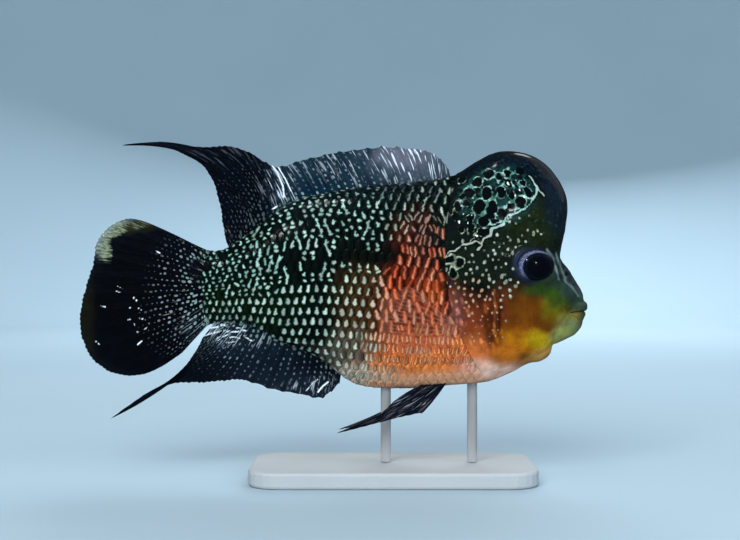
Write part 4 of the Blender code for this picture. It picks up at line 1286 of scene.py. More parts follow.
def coat_finish():
    finish = Finish("wet scales", **dict(WET, coat=0.5, coat_roughness=0.16))
    where = finish.places()
    spot = finish.field("spot", "Vector")
    warp = finish.vector("SUBTRACT", finish.noise(where, 1.7, 2.0, "Color"), (0.5, 0.5, 0.5))
    at = finish.vector("ADD", spot, finish.vector("MULTIPLY", warp, (1.5, 1.5, 0.0)))
    names = "rod_a", "axis_a", "rod_b", "axis_b", "link_up", "link_down"
    rod_a, axis_a, rod_b, axis_b, *links = (finish.field(name, "Vector") for name in names)
    inside = rod_inside(finish, at, rod_a, axis_a, taper=-0.3).larger(rod_inside(finish, at, rod_b, axis_b))
    for link in links:
        inside = inside.larger(link_inside(finish, at, link))
    inside = inside + (finish.noise(where, 0.7, 2.0) - 0.5) * 0.45
    mottle, calm = finish.noise(where, 6.0, 3.0), finish.field("calm")
    across, rise, _ = finish.split(spot)
    streak = finish.noise(finish.join(across * 1.6, rise * 0.35, mottle * 4.0), 1.3, 2.0)
    # Painted shade: the front of each scale, under its neighbours' edges, is darkened.
    depth = finish.step(across, 2.2, -1.6)
    shade = (0.35 + depth * 0.95) * (0.55 + streak * 0.9)
    shade = shade + (1.0 - shade) * calm * 0.88
    colour = finish.shaded(finish.field("ground", "Color"), shade)
    pearl = finish.field("pearl", "Color")
    red, green, _ = finish.split(pearl)
    warm = finish.step(red - green, 0.06, 0.32)
    rim = finish.mix(1.0, pearl, finish.mix(warm, RIM_GREEN, RIM_RED), "MULTIPLY")
    strength = 1.0 - calm * 0.85
    flame = finish.shaded(pearl, 0.8 + finish.step(streak, 0.3, 0.7) * 0.35)
    colour = finish.mix(finish.step(inside, -0.75, -0.1) * strength * warm * 0.6, colour, rim)
    colour = finish.mix(finish.step(inside, -0.26, 0.06) * strength, colour, rim)
    colour = finish.mix(finish.step(inside, -0.06, 0.42) * strength, colour, finish.mix(warm, pearl, flame))
    growth = (finish.vector("LENGTH", spot, output="Value") * 14.0).wave() * 0.08
    height = growth + finish.step(inside, -0.15, 0.5) * 0.7 + finish.noise(where, 0.8, 2.0) * 0.5
    return finish.made(colour, height, 0.09, 0.3 + mottle * 0.2)


scales_finish = coat_finish()
for side, side_name, seed in ((-1, "right", 41), (1, "left", 42)):
    points, faces, flat, fields, uv = coat_arrays(side, seed)
    mesh = mesh_of(f"scales_{side_name}", points, faces, flat=flat)
    give(mesh, **fields)
    lay_out(mesh, "OFBake", uv)
    show(mesh, scales_finish)

# %% [markdown]
# A fin is a sheet stretched between rays. Spines are single rods, soft rays split in two and again in four
# towards the edge, and the edge frays between them. So the sheet is a fan: columns follow the rays, rows run
# from root to edge, and thickness swells where a ray or a branch runs. Both faces are made, and the rim
# closed.

# %% Fin rows
# Where the ray grows from, its tip x, z, and how far its middle bows.
DORSAL = np.array((
    (51.6, 50.6, 136.6, 0), (48.6, 47.6, 140.6, 0.5), (44.5, 42.5, 144.2, 0.5), (38, 32, 146, 1),
    (29, 20.5, 146.3, 1), (18, 9, 145, 1), (7, -2, 143.4, 1), (-4, -13.5, 140.6, 1), (-15, -24, 137.6, 1),
    (-20, -29.5, 139, 1), (-23.5, -37, 143.4, 2.5), (-26.5, -48, 146.4, 6), (-29, -60, 145.8, 14),
    (-30.6, -76.5, 148, 21), (-32, -94, 146.4, 25.5), (-33.4, -76.5, 146.2, 17), (-35, -66.5, 142.6, 13),
    (-37, -58.5, 138, 9), (-39.3, -53.2, 130, 5), (-41.4, -50.4, 120, 2.5), (-43.4, -49, 111.5, 1),
    (-45.6, -47.4, 104.6, 0),
))
ANAL = np.array((
    (3.4, 2.6, 41, 0), (0.6, -1.4, 37, 0), (-3, -6, 34.4, -0.5), (-8, -12.4, 35.6, -0.5),
    (-14, -20.4, 36.8, -1), (-20, -28.4, 38.6, -1), (-26, -36.4, 41.2, -1), (-31, -44, 42.6, -1.5),
    (-35, -53, 41.8, -2.5), (-38.4, -62, 41.5, -4), (-41, -72, 40.9, -6), (-43, -84, 35.6, -8),
    (-44.6, -99, 25.6, -9), (-46, -84, 36.3, -7.6), (-47.2, -74, 41.9, -5.4), (-48.6, -66, 48.6, -3),
    (-50, -60.6, 56, -1), (-51.2, -57.6, 61.6, 0),
))
CAUDAL = np.array((
    (99.6, -68.5, 106.2, 0), (98, -83, 112.8, 1.5), (95.4, -92, 114.2, 2.5), (92.6, -99.6, 110.2, 3),
    (90, -104.6, 103.4, 2.5), (87.4, -105.8, 95, 2), (85, -108, 87, 1), (82.6, -110.4, 78.5, 0),
    (80.2, -111.6, 70, -1), (77.8, -110.6, 61.5, -2), (75.6, -107.4, 53.8, -2.5), (73.4, -101.8, 48.2, -3),
    (71.6, -94.5, 45.3, -3), (70.2, -86, 44.9, -2.5), (69.2, -77, 48.2, -1.5), (68.4, -67.2, 54.6, 0),
))
PELVIC = np.array((
    (49.4, 39, 29.6, -1), (47.8, 30, 27.9, -2.5), (46.2, 15.5, 24.6, -3), (44.8, 1.5, 21.6, -3),
    (43.4, 10.5, 25, -2), (42, 19.5, 29, -1), (40.6, 26.5, 35, 0), (39.2, 32, 38.6, 0),
))
PECTORAL = np.array((
    (70.6, 32, 85, 2), (69, 24.6, 82, 1.5), (67.4, 20.6, 76.5, 1), (65.8, 19.4, 70, 0), (64.2, 21.4, 64, -1),
    (62.6, 26.4, 58.6, -1.5), (61, 33.4, 55.4, -2),
))

# %% [markdown]
# The roots follow the body: the dorsal fin sits on the back's edge, the anal fin on the belly's, the tail fin
# on the end of the stem. A little of each sheet is sunk into the flesh so that no slit shows.

# %% Roots on the body
SINK = 1.3
BACK_FRONT, BELLY_FRONT = 60, 75
edge_rows = catmull(STATIONS, np.linspace(0, MOUTH, 800))
upper_edge, lower_edge = edge_rows[:, 0:2], edge_rows[:, 4:6]
upper_edge = upper_edge[:np.argmax(upper_edge[:, 0] > BACK_FRONT)]
lower_edge = lower_edge[:np.argmax(lower_edge[:, 0] > BELLY_FRONT)]


def on_edge(x, edge, sink):
    """The place on an edge of the side view at x, sunk a little."""
    return np.stack([x, np.interp(x, edge[:, 0], edge[:, 1]) + sink], -1)


def on_back(x):
    return on_edge(x, upper_edge, -SINK)


def on_belly(x):
    return on_edge(x, lower_edge, SINK)


def on_stem_end(z):
    """Middle + c²(top - middle) along the curved end of the stem, where c runs from -1 at the belly to 1."""
    tx, tz, mx, mz, _, bz = STATIONS[0, :6]
    c = np.where(z > mz, (z - mz) / (tz - mz), (z - mz) / (mz - bz))
    return np.stack([mx + c * c * (tx - mx) + SINK, z], -1)


print("back at x = 0:", on_back(np.array([0.0])).round(1), "belly:", on_belly(np.array([0.0])).round(1))

# %% [markdown]
# The sheet is laid out flat in the side view first, then given its sway and its two faces. One could model a
# fin as a flat plate with a picture of rays, but then its edge would be smooth and its rays would catch no
# light.

# %% Fin sheets
def ray_fan(rows, rays, soft, root, random, across, levels, notch, fray):
    """Each column is a curve: foot (1-t)² + 2 middle t (1-t) + tip t², its middle pushed aside by the bow.

    Only at a spine's point does the edge reach the tip. Between spines it drops by notch, and between the
    branches of soft rays by a random share of fray.
    """
    fan = np.linspace(0, len(rays) - 1, (len(rays) - 1) * across + 1)
    u, soft = (np.interp(fan, np.arange(len(rays)), values) for values in (rays, soft))
    start, tip_x, tip_z, bow = catmull(rows, u).T
    foot, tip = root(start), np.stack([tip_x, tip_z], -1)
    chord = tip - foot
    length = np.linalg.norm(chord, axis=1)
    aside = np.stack([chord[:, 1], -chord[:, 0]], -1) / length[:, None]
    middle = (foot + tip) / 2 + aside * bow[:, None]
    fringe = np.interp(fan * 4, np.arange(4 * len(rays)), random.uniform(0, 1, 4 * len(rays)))
    tooth = (1 - np.abs(np.cos(4 * np.pi * fan))) * 0.5 + fringe * 0.5
    point = random.uniform(0.15, 1.0, len(rays))[np.round(fan).astype(int)] * bell(fan - np.round(fan), 0.16)
    short = (1 - soft) * notch * (1 - point) * (0.75 + 0.5 * fringe) + soft * fray * tooth
    level = np.linspace(0, 1, levels)[None] ** 0.92
    t = (level * (1 - (short / length)[:, None] * level))[..., None]
    foot, middle, tip = foot[:, None], middle[:, None], tip[:, None]
    flat = foot * (1 - t) ** 2 + middle * 2 * t * (1 - t) + tip * t * t
    return fan[:, None], u[:, None], soft[:, None], level, flat


def ray_ridges(fan, soft, level, spacing):
    """Bells round a ray's branches: halves part a quarter of the way to the next ray, then part again."""
    first = 0.25 * eased(level, 0.3, 0.85) * soft
    second = 0.125 * eased(level, 0.62, 1.0) * soft
    branches = [fan - np.round(fan) - one * first - two * second for one in (-1, 1) for two in (-1, 1)]
    return np.max([bell(branch * spacing, 0.42 - 0.16 * level) for branch in branches], 0)


def two_faces(points, shape):
    """Faces over a grid of points given twice, near and far, joined round the rim and turned outwards."""
    count = shape[0] * shape[1]
    ring = rim_path(*shape)
    after = np.roll(ring, -1)
    rim = np.stack([after, ring, ring + count, after + count], -1)
    faces = np.concatenate([quads(*shape), quads(*shape, start=count, flip=True), rim])
    a, b, c = points[faces[0, :3]]
    return faces[:, ::-1] if np.cross(b - a, c - a)[1] > 0 else faces


def fin_arrays(rows, rays, soft, root, middle, seed, across=14, levels=44, bone=1.3, base=1.6, membrane=0.34,
               notch=1.2, fray=1.6):
    """Points of both faces, faces, and where each point lies: rays counted, millimetres along, spacing, edge.

    Thickness = membrane, plus base at the root, plus (bone - membrane) * ridge, all thinner towards the edge.
    """
    random = np.random.default_rng(seed)
    fan, u, soft, level, flat = ray_fan(rows, rays, soft, root, random, across, levels, notch, fray)
    spacing = np.linalg.norm(np.gradient(flat, axis=0), axis=2) * across
    ridge = ray_ridges(fan, soft, level, spacing)
    thick = membrane - 0.12 * level + base * (1 - np.minimum(level / 0.3, 1)) ** 2
    thick = thick + (bone - membrane) * ridge * (1 - 0.78 * level)
    y = middle(flat, u / (len(rows) - 1), level) + 0.16 * level * np.sin(2 * np.pi * fan) * soft
    points = np.concatenate([np.stack([flat[..., 0], face, flat[..., 1]], -1).reshape(-1, 3)
                             for face in (y - thick / 2, y + thick / 2)])
    where = {"fan": fan, "along": along_rings(flat), "spacing": spacing, "edge": level, "ridge": ridge}
    where = {name: np.tile(np.broadcast_to(values, ridge.shape).ravel(), 2) for name, values in where.items()}
    uv = np.stack([where["fan"] / fan[-1], where["edge"]], -1) * (0.48, 0.98) + (0.005, 0.01)
    uv[ridge.size:, 0] += 0.505
    return points, two_faces(points, ridge.shape), where, uv


# %% [markdown]
# Fin colours follow the same plan as the body: soft ellipses in the photograph's pixels for the ground, then
# dots in the lanes between rays, pale rays with painted highlight streaks along them, painted highlights
# where the wet sheet glints, and a pale see-through margin on the tail.

# %% The fins' colours
FIN_COLOUR = (0.0012, 0.0035, 0.008)
FIN_GROUND = (
    (330, 172, 80, 24, 6, 0.4, (0.005, 0.02, 0.034)),
    (412, 160, 46, 24, -8, 0.5, (0.04, 0.06, 0.088)),
    (404, 156, 26, 11, 0, 0.6, (0.105, 0.108, 0.15)),
    (300, 200, 40, 16, 25, 0.6, (0.001, 0.014, 0.03)),
    (230, 190, 48, 60, 0, 0.4, (0.0008, 0.002, 0.006)),
    (140, 300, 60, 80, 0, 0.5, (0.0008, 0.0015, 0.003)),
    (84, 325, 9, 56, 0, 0.6, (0.005, 0.006, 0.002)),
    (125, 224, 34, 9, 4, 0.5, (0.012, 0.014, 0.006)),
    (245, 340, 50, 22, -14, 0.5, (0.003, 0.01, 0.018)),
    (290, 385, 60, 16, -10, 0.5, (0.004, 0.009, 0.017)),
    (400, 400, 50, 20, 0, 0.5, (0.002, 0.003, 0.009)),
)
# Centre x, y; radii; tilt; softness; strength.
FIN_DOTS = (
    (187, 286, 32, 44, 0, 0.5, 0.9), (186, 318, 36, 32, 0, 0.5, 0.9), (320, 180, 90, 24, 8, 0.4, 0.9),
    (250, 205, 44, 50, 0, 0.4, 0.2), (240, 345, 56, 30, -10, 0.5, 0.7), (300, 372, 54, 18, -12, 0.5, 0.6),
    (120, 240, 36, 20, 0, 0.5, 0.0), (94, 300, 18, 70, 0, 0.5, 0.0), (405, 165, 40, 24, 0, 0.5, 0.3),
    (197, 270, 9, 12, 0, 0.2, 0.0),
)
# Pale rays, and painted highlight streaks along them, in the same columns as the dots.
FIN_PALE_RAYS_AND_SHEEN = (
    (412, 160, 42, 22, -8, 0.5, 1.0), (350, 165, 36, 18, 0, 0.6, 0.5), (280, 186, 20, 16, -40, 0.5, 0.8),
    (228, 330, 40, 14, -8, 0.5, 0.7), (300, 390, 36, 9, 12, 0.5, 0.4), (222, 156, 30, 10, 0, 0.6, 0.06),
    (400, 400, 40, 14, 20, 0.6, 0.25), (300, 165, 30, 12, 0, 0.6, 0.3),
)
# The pale see-through corner of the tail fin.
FIN_PALE = (
    (103, 246, 9, 18, 12, 0.5, 0.9), (117, 229, 15, 7, 25, 0.5, 0.9), (138, 225, 16, 5, 10, 0.6, 0.5),
)
# Painted highlights: white strokes where the wet sheet glints along a ray: the line; half width.
FIN_PAINTED_GLINTS = (
    (((271, 164), (277, 172), (283, 186), (284, 197)), 0.9), (((277, 165), (286, 180), (291, 191)), 0.7),
    (((243, 240), (252, 231), (261, 225)), 1.1), (((272, 210), (277, 206)), 1.0),
    (((209, 328), (218, 327)), 0.9), (((221, 325), (234, 325)), 1.0), (((214, 333), (221, 331)), 0.8),
    (((224, 331), (238, 332)), 1.0), (((204, 336), (212, 333)), 0.7), (((217, 338), (227, 335)), 0.8),
    (((230, 337), (240, 338)), 0.8), (((212, 342), (219, 340)), 0.6), (((226, 343), (235, 342)), 0.7),
    (((236, 327), (246, 331)), 0.8), (((244, 336), (252, 341)), 0.7), (((222, 348), (229, 347)), 0.5),
    (((318, 392), (323, 386), (328, 382)), 0.9), (((306, 391), (312, 384), (318, 379)), 0.5),
    (((133, 297), (137, 301)), 0.9), (((129, 308), (131, 308)), 0.8), (((138, 308), (141, 310)), 0.7),
    (((140, 318), (145, 320)), 0.8), (((127, 320), (131, 319)), 0.6), (((133, 323), (135, 325)), 0.7),
    (((137, 332), (139, 332)), 0.7), (((144, 330), (147, 327)), 0.6), (((137, 345), (142, 341)), 0.8),
    (((96, 341), (99, 345)), 0.9), (((101, 306), (106, 307)), 0.8), (((116, 291), (122, 293)), 0.6),
    (((117, 286), (124, 289)), 0.5), (((156, 251), (160, 253)), 0.7),
)


def strength(place, coats):
    """One number painted as colours are."""
    return painted(place, 0.0, coats, 0.0)[..., 0]


# Counts of the painted highlight strokes and of the zones of dots.
print("strokes of silver:", len(FIN_PAINTED_GLINTS), "and zones of dots:", len(FIN_DOTS))

# %% [markdown]
# A fin's dots sit in lanes between the rays, so they are worked out from the fan's own numbers: which lane,
# and how far along it. Dots thrown over the whole sheet would run across the rays, which the fish's don't.

# %% The fins' finish
# Grey of pale rays, then the whites of painted highlights: streaks along the rays and strokes where the wet
# sheet glints.
RAY_GREY, RAY_HIGHLIGHT_WHITE, PAINTED_GLINT_WHITE = (0.1, 0.14, 0.2), (0.62, 0.72, 0.84), (0.7, 0.79, 0.86)
SPECK_DARK, SPECK_PALE, SPECK_MINT = (0.09, 0.12, 0.15), (0.26, 0.31, 0.34), (0.24, 0.36, 0.34)
CORNER_OLIVE, CORNER_PALE = (0.05, 0.07, 0.03), (0.26, 0.31, 0.2)


def lane_dots(finish, where, lanes, step):
    """Radius minus distance, for staggered dots in lanes between the rays, and each dot's random number.

    There are so many lanes between two rays, and along a lane a place every step millimetres. Its random
    numbers push the dot about, stretch it, and leave about a quarter of the places bare.
    """
    fan, along, spacing, edge = where
    across = fan * lanes
    lane = across.floor()
    aside = (across - lane - 0.5) * spacing / lanes
    run = along / step + (lane * 0.5).part() + (lane * 0.37).wave() * 0.3
    cell = run.floor()
    ahead = (run - cell - 0.5) * step
    sockets = {"Vector": finish.join(lane, cell)}
    dice = finish.node("ShaderNodeTexWhiteNoise", {"noise_dimensions": "2D"}, sockets, "Color")
    size, push, pull = finish.split(dice)
    away = finish.join(aside + (push - 0.5) * 0.7, (ahead + (pull - 0.5) * 0.7) * (0.55 + push * 0.4))
    base = 1.0 + finish.step(edge, 0.26, 0.02) * 0.9
    return (0.1 + size * 0.42) * base - finish.vector("LENGTH", away, output="Value"), size


def fin_finish(title, see_through=False):
    finish = Finish(title, **dict(WET, coat=0.7, coat_roughness=0.1))
    where = finish.places()
    names = "fan", "along", "spacing", "edge", "ridge", "dotted", "pale_rays_and_sheen"
    fan, along, spacing, edge, ridge, dotted, pale_rays_and_sheen = (finish.field(name) for name in names)
    warp = (finish.noise(where, 0.9, 2.0) - 0.5) * 0.4
    single, dice = lane_dots(finish, (fan, along, spacing, edge), 1.0, 2.3)
    double, _ = lane_dots(finish, (fan, along, spacing, edge), 2.0, 2.4)
    inside = single + (double - single) * finish.step(spacing, 2.9, 3.3) + warp
    dot = finish.step(inside, -0.1, 0.12) * dotted
    mottle = finish.noise(where, 4.0, 3.0)
    shade = 0.55 + mottle * 0.9 - ridge * 0.25
    colour = finish.shaded(finish.field("ground", "Color"), shade)
    # Pale rays, partly the rays' own colour and partly painted sheen, then bright painted highlight streaks
    # along them.
    hair = finish.noise(finish.join(fan * 9.0, along * 0.12, 2.0), 1.0, 3.0)
    pale_ray = finish.step(hair, 0.48, 0.75) * finish.step(edge, 0.05, 0.3)
    colour = finish.mix(pale_ray * 0.4 * pale_rays_and_sheen, colour, RAY_GREY)
    bright = finish.noise(finish.join(fan * 5.0, along * 0.1, 7.0), 1.0, 1.5)
    colour = finish.mix(finish.step(bright, 0.58, 0.64) * pale_rays_and_sheen, colour, RAY_HIGHLIGHT_WHITE)
    speck = finish.mix(finish.step(edge, 0.26, 0.1), finish.mix(dice, SPECK_DARK, SPECK_PALE), SPECK_MINT)
    colour = finish.mix(dot * 0.9, colour, speck)
    fine = finish.noise(finish.join(fan * 12.0, along * 0.4, 3.0), 1.0, 3.0)
    pale = finish.step(finish.field("pale") + (hair - 0.5) * 1.8, 0.4, 0.85)
    corner = finish.mix(finish.step(fine, 0.35, 0.62), CORNER_OLIVE, CORNER_PALE)
    colour = finish.mix(pale * 0.9, colour, corner)
    # Painted highlights: white strokes where the wet sheet glints over a ray.
    painted_glint = finish.field("painted_glint") + (finish.noise(where, 0.8, 3.0) - 0.5) * 0.5
    colour = finish.mix(finish.step(painted_glint, -0.1, 0.15), colour, PAINTED_GLINT_WHITE)
    joints = (along * 7.0).wave() * ridge * 0.25
    height = fine * 0.8 + joints + finish.noise(where, 1.0, 2.0) * 0.5
    if see_through:
        finish.set("Alpha", (1.0 - finish.field("clear") * (0.75 - ridge * 0.5)).clamp(0.0, 1.0))
    return finish.made(colour, height, 0.12, 0.28 + mottle * 0.2)


def add_fin(name, arrays, finish, clear=None):
    points, faces, where, uv = arrays
    mesh = mesh_of(name, points, faces)
    place = photo_place(points)
    base = painted(place, FIN_COLOUR, FIN_GROUND, ripple(points, 7.0, 51) * 0.1)
    # The field of painted highlight strokes, and where pale rays and painted highlight streaks go.
    painted_glint = np.maximum(within(place, FIN_PAINTED_GLINTS) * FLANK_PIXEL, -2.0)
    fields = dict(where, ground=base, painted_glint=painted_glint, pale=strength(place, FIN_PALE),
                  dotted=strength(place, FIN_DOTS), pale_rays_and_sheen=strength(place, FIN_PALE_RAYS_AND_SHEEN))
    if clear is not None:
        fields["clear"] = clear(place, where)
    give(mesh, **fields)
    lay_out(mesh, "OFBake", uv)
    return show(mesh, finish, (name.replace("fine_", ""),))


# %% [markdown]
# The dorsal fin has some seventeen hard spines before its soft rays, the anal fin eight, the tail fin none.
# All three stand in the middle plane and sway a little, as wet fins do.

# %% Dorsal, anal and tail fins
def ray_places(spines, soft_row, last_row):
    """Spines spread evenly up to soft_row, then one soft ray a row."""
    hard = np.linspace(0, soft_row, spines)
    rays = np.concatenate([hard, np.arange(soft_row + 1, last_row + 1)])
    return rays, (np.arange(len(rays)) >= spines).astype(float)


def wave(size, turns, phase):
    """The sheet sways to either side: size * the sine of turns along the fin * level to the power 1.5."""
    return lambda flat, share, level: size * np.sin(2 * np.pi * (turns * share + phase)) * level**1.5


dark_fin = fin_finish("wet black fin")
tail_fin = fin_finish("wet tail fin", see_through=True)
rays, soft = ray_places(17, 9, len(DORSAL) - 1)
arrays = fin_arrays(DORSAL, rays, soft, on_back, wave(1.6, 1.5, 0.1), 61, notch=1.0)
add_fin("fine_dorsal_fin", arrays, dark_fin)
rays, soft = ray_places(8, 6, len(ANAL) - 1)
arrays = fin_arrays(ANAL, rays, soft, on_belly, wave(1.4, 1.3, 0.55), 62)
add_fin("fine_anal_fin", arrays, dark_fin)
CLEAR_CORNER = (112, 232, 38, 30)


def tail_margin(place, where):
    """Clear only in the outer tenth, most at the pale upper corner."""
    corner = eased(reach(place, *CLEAR_CORNER), 1.2, 0.6)
    return eased(where["edge"], 0.84, 1.0) * (0.1 + 0.6 * corner)


rays, soft = ray_places(0, -1, len(CAUDAL) - 1)
arrays = fin_arrays(CAUDAL, rays, soft, on_stem_end, wave(2.2, 1.1, 0.2), 63, base=4.4, fray=1.2)
add_fin("fine_caudal_fin", arrays, tail_fin, tail_margin)

# %% [markdown]
# The pelvic fins hang below the belly and trail backwards in a point. The pectoral fins are the clear ones,
# set behind the gill covers. Each has a left and a right, and their sheets lean away from the body.

# %% Pelvic and pectoral fins
PELVIC_ROOT_Y, PELVIC_SPLAY, LEFT_PELVIC_DROP = 5.0, 0.22, 2.4
PECTORAL_ROOT_X, PECTORAL_SPLAY = 50.4, 0.3
PELVIC_ROOT_X, PELVIC_HINGE = (38.0, 44.0, 50.0), (45.0, 41.0)
PELVIC_RAYS = np.array([0.0, 1.4, 2.4, 3.2, 4.6, 5.9, 7.0])


def belly_height(x, y):
    """Height of the belly at x, y: the chart's lowest rows, read where they cross y."""
    t = np.linspace(-70, -20, 200)
    column = read_chart(chart, np.full_like(t, x), t)
    below = column[:, 1] < 0
    return float(np.interp(-y, column[below, 1][::-1], column[below, 2][::-1])) if below.any() else 40.0


def on_belly_side(x):
    heights = [belly_height(value, PELVIC_ROOT_Y) for value in PELVIC_ROOT_X]
    return np.stack([x, np.interp(x, PELVIC_ROOT_X, heights) + 0.8], -1)


def behind_gill(z):
    return np.stack([np.full_like(z, PECTORAL_ROOT_X), z], -1)


pectoral_root_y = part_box("pectoral_fin_left")[0][1] / MM + 0.8


def pelvic_sheet(sign):
    """y = root's y + splay * the distance from the root, less near the body."""
    def middle(flat, share, level):
        away = np.hypot(PELVIC_HINGE[0] - flat[..., 0], PELVIC_HINGE[1] - flat[..., 1])
        return sign * (PELVIC_ROOT_Y + PELVIC_SPLAY * away * (0.4 + 0.6 * level))
    return middle


def pectoral_sheet(sign):
    """y = root's y + splay * the way back, bending in again with its square."""
    def middle(flat, share, level):
        away = PECTORAL_ROOT_X - flat[..., 0]
        return sign * (pectoral_root_y + PECTORAL_SPLAY * away - 0.002 * away * away)
    return middle


def clear_finish():
    """A see-through sheet: alpha is low between the rays and higher on them."""
    finish = Finish("clear fin", roughness=0.25, coat=0.25, coat_roughness=0.1, IOR=1.36)
    where = finish.places()
    ridge, edge = finish.field("ridge"), finish.field("edge")
    tint = finish.mix(ridge, (0.45, 0.14, 0.08), (0.6, 0.26, 0.18))
    colour = finish.mix(finish.noise(where, 3.0, 3.0) * 0.6, tint, (0.3, 0.08, 0.04))
    finish.set("Alpha", 0.05 + ridge * 0.15 - edge * 0.03)
    return finish.made(colour, finish.noise(where, 1.2, 2.0), 0.1)


clear_fin = clear_finish()
pectoral_rays = np.linspace(0, len(PECTORAL) - 1, 12)
for side, sign in (("left", 1), ("right", -1)):
    rows = PELVIC - (0.0, 0.0, LEFT_PELVIC_DROP if sign > 0 else 0.0, 0.0)
    soft = (np.arange(len(PELVIC_RAYS)) > 0).astype(float)
    arrays = fin_arrays(rows, PELVIC_RAYS, soft, on_belly_side, pelvic_sheet(sign), 64, across=16, base=1.2)
    add_fin(f"fine_pelvic_fin_{side}", arrays, dark_fin)
    arrays = fin_arrays(PECTORAL, pectoral_rays, np.ones(12), behind_gill, pectoral_sheet(sign), 65,
                        across=12, bone=0.7, base=0.8, membrane=0.25, fray=1.0)
    add_fin(f"fine_pectoral_fin_{side}", arrays, clear_fin)

# %% [markdown]
# A cichlid's eye is a glossy ball, nearly black, in a ring of lavender that is wide behind and above and only
# a thin pale line in front. The ball is a sphere of two angles, stretched to the socket. The rings are a
# field, radii from the dark disc's centre, so that they stay crisp up close.

# %% Eyes
EYE_CENTRE = (87.4, 12.9, 93.3)
EYE_RADII = (8.4, 5.0, 7.3)
EYE_YAW = math.radians(10.0)
DISC = (538.9, 267.1, 15.8, 14.35)
LAVENDER, LAVENDER_PALE, SOCKET_DARK = (0.05, 0.064, 0.14), (0.23, 0.26, 0.43), (0.01, 0.02, 0.026)
PUPIL, DISC_EDGE, IRIS = (0.0006, 0.0012, 0.0035), (0.002, 0.005, 0.012), (0.01, 0.02, 0.045)
FRONT_LINE = (0.22, 0.27, 0.3)


def eye_arrays(sign):
    """x, z = sine of the polar angle * cosine and sine of the other, y = -its cosine.

    Then the ball is turned by EYE_YAW, so that the flat front looks a little forwards.
    """
    polar = np.linspace(0, np.pi, 66)[1:-1, None]
    turn = np.linspace(0, 2 * np.pi, 97)[None, :-1]
    out = np.sin(polar)
    ball = np.stack([out * np.cos(turn), 0 * turn - np.cos(polar), out * np.sin(turn)], -1)
    rows, columns = ball.shape[:2]
    ball = np.concatenate([ball.reshape(-1, 3), [(0, -1, 0), (0, 1, 0)]]) * EYE_RADII
    x = ball[:, 0] * math.cos(EYE_YAW) - ball[:, 1] * math.sin(EYE_YAW)
    y = ball[:, 0] * math.sin(EYE_YAW) + ball[:, 1] * math.cos(EYE_YAW)
    points = np.stack([x + EYE_CENTRE[0], y - EYE_CENTRE[1], ball[:, 2] + EYE_CENTRE[2]], -1)
    faces = quads(rows, columns, around=True)
    first, last = np.arange(columns), (rows - 1) * columns + np.arange(columns)
    near_cap = np.stack([np.full(columns, rows * columns), np.roll(first, -1), first], -1)
    far_cap = np.stack([np.full(columns, rows * columns + 1), last, np.roll(last, -1)], -1)
    if sign > 0:
        points = points * (1, -1, 1)
        faces, near_cap, far_cap = faces[:, ::-1], near_cap[:, ::-1], far_cap[:, ::-1]
    return points, faces, near_cap, far_cap


def eye_finish():
    gloss = {"coat": 1.0, "coat_roughness": 0.02, "IOR": 1.36, "Specular_IOR_Level": 0.3}
    finish = Finish("wet eye", roughness=0.25, **gloss)
    where = finish.places()
    radius, behind, above = finish.split(finish.field("disc", "Vector"))
    fibres = finish.noise(where, 0.8, 4.0)
    lavender = finish.mix(finish.step(fibres, 0.3, 0.7), LAVENDER, LAVENDER_PALE)
    bright = finish.step(behind * 0.8 - above * 0.6, 0.3, -0.55)
    ring = finish.mix(bright, SOCKET_DARK, finish.shaded(lavender, 0.9))
    thin = finish.step(abs(radius - 1.09), 0.05, 0.01) * finish.step(behind, -0.1, 0.6)
    ring = finish.mix(thin * 0.8, ring, FRONT_LINE)
    disc = finish.mix(finish.step(radius, 0.6, 1.0), PUPIL, DISC_EDGE)
    inner = finish.step(abs(radius - 0.8), 0.1, 0.0) * finish.step(fibres, 0.45, 0.65)
    disc = finish.mix(inner * 0.3, disc, IRIS)
    finish.set("Base Color", finish.mix(finish.step(radius, 0.97, 1.06), disc, ring))
    return finish.material


wet_eye = eye_finish()
for side, sign in (("left", 1), ("right", -1)):
    points, *face_sets = eye_arrays(sign)
    mesh = mesh_of(f"fine_eye_{side}", points, *face_sets)
    place = photo_place(points)
    ahead, up = (place[:, 0] - DISC[0]) / DISC[2], (DISC[1] - place[:, 1]) / DISC[3]
    give(mesh, disc=np.stack([np.hypot(ahead, up), ahead, up], -1))
    show(mesh, wet_eye, (f"eye_{side}",))

# %% [markdown]
# The stand keeps its solid nodes. The plate is a pale satin board with a faint speckle, the rods are steel
# with fine turning marks. Both are procedural, so they hold up in a close view.

# %% The stand's finishes
def plate_finish():
    finish = Finish("pale satin plate", roughness=0.45)
    where = finish.places()
    speckle = finish.step(finish.noise(where, 0.7, 3.0), 0.6, 0.72)
    cloud = finish.noise(where, 30.0, 3.0)
    colour = finish.mix(cloud, (0.4, 0.44, 0.47), (0.47, 0.51, 0.54))
    colour = finish.mix(speckle * 0.3, colour, (0.28, 0.31, 0.34))
    return finish.made(colour, finish.noise(where, 0.5, 2.0), 0.02, 0.4 + cloud * 0.15)


def rod_finish():
    finish = Finish("turned steel rod", roughness=0.3, Metallic=0.55)
    x, y, z = finish.split(finish.places())
    marks = finish.noise(finish.join(x * 0.05, y * 0.05, z * 6.0), 1.0, 2.0)
    colour = finish.mix(marks, (0.5, 0.52, 0.54), (0.66, 0.68, 0.7))
    return finish.made(colour, marks, 0.02, 0.22 + marks * 0.2)


satin, steel = plate_finish(), rod_finish()
for name, finish in (("stand_base", satin), ("stand_rod_rear", steel), ("stand_rod_front", steel)):
    nodes[name].data.materials.clear()
    nodes[name].data.materials.append(finish)

# %% [markdown]
# The stage is a shallow round dish, so that there is no corner to see from any side: a flat floor whose rim
# curls up into a wall. It is turned from a profile, radius against height.

# %% Floor and backdrop
FLOOR_RADIUS, WALL_RADIUS, WALL_HEIGHT = 1500.0, 2300.0, 1500.0


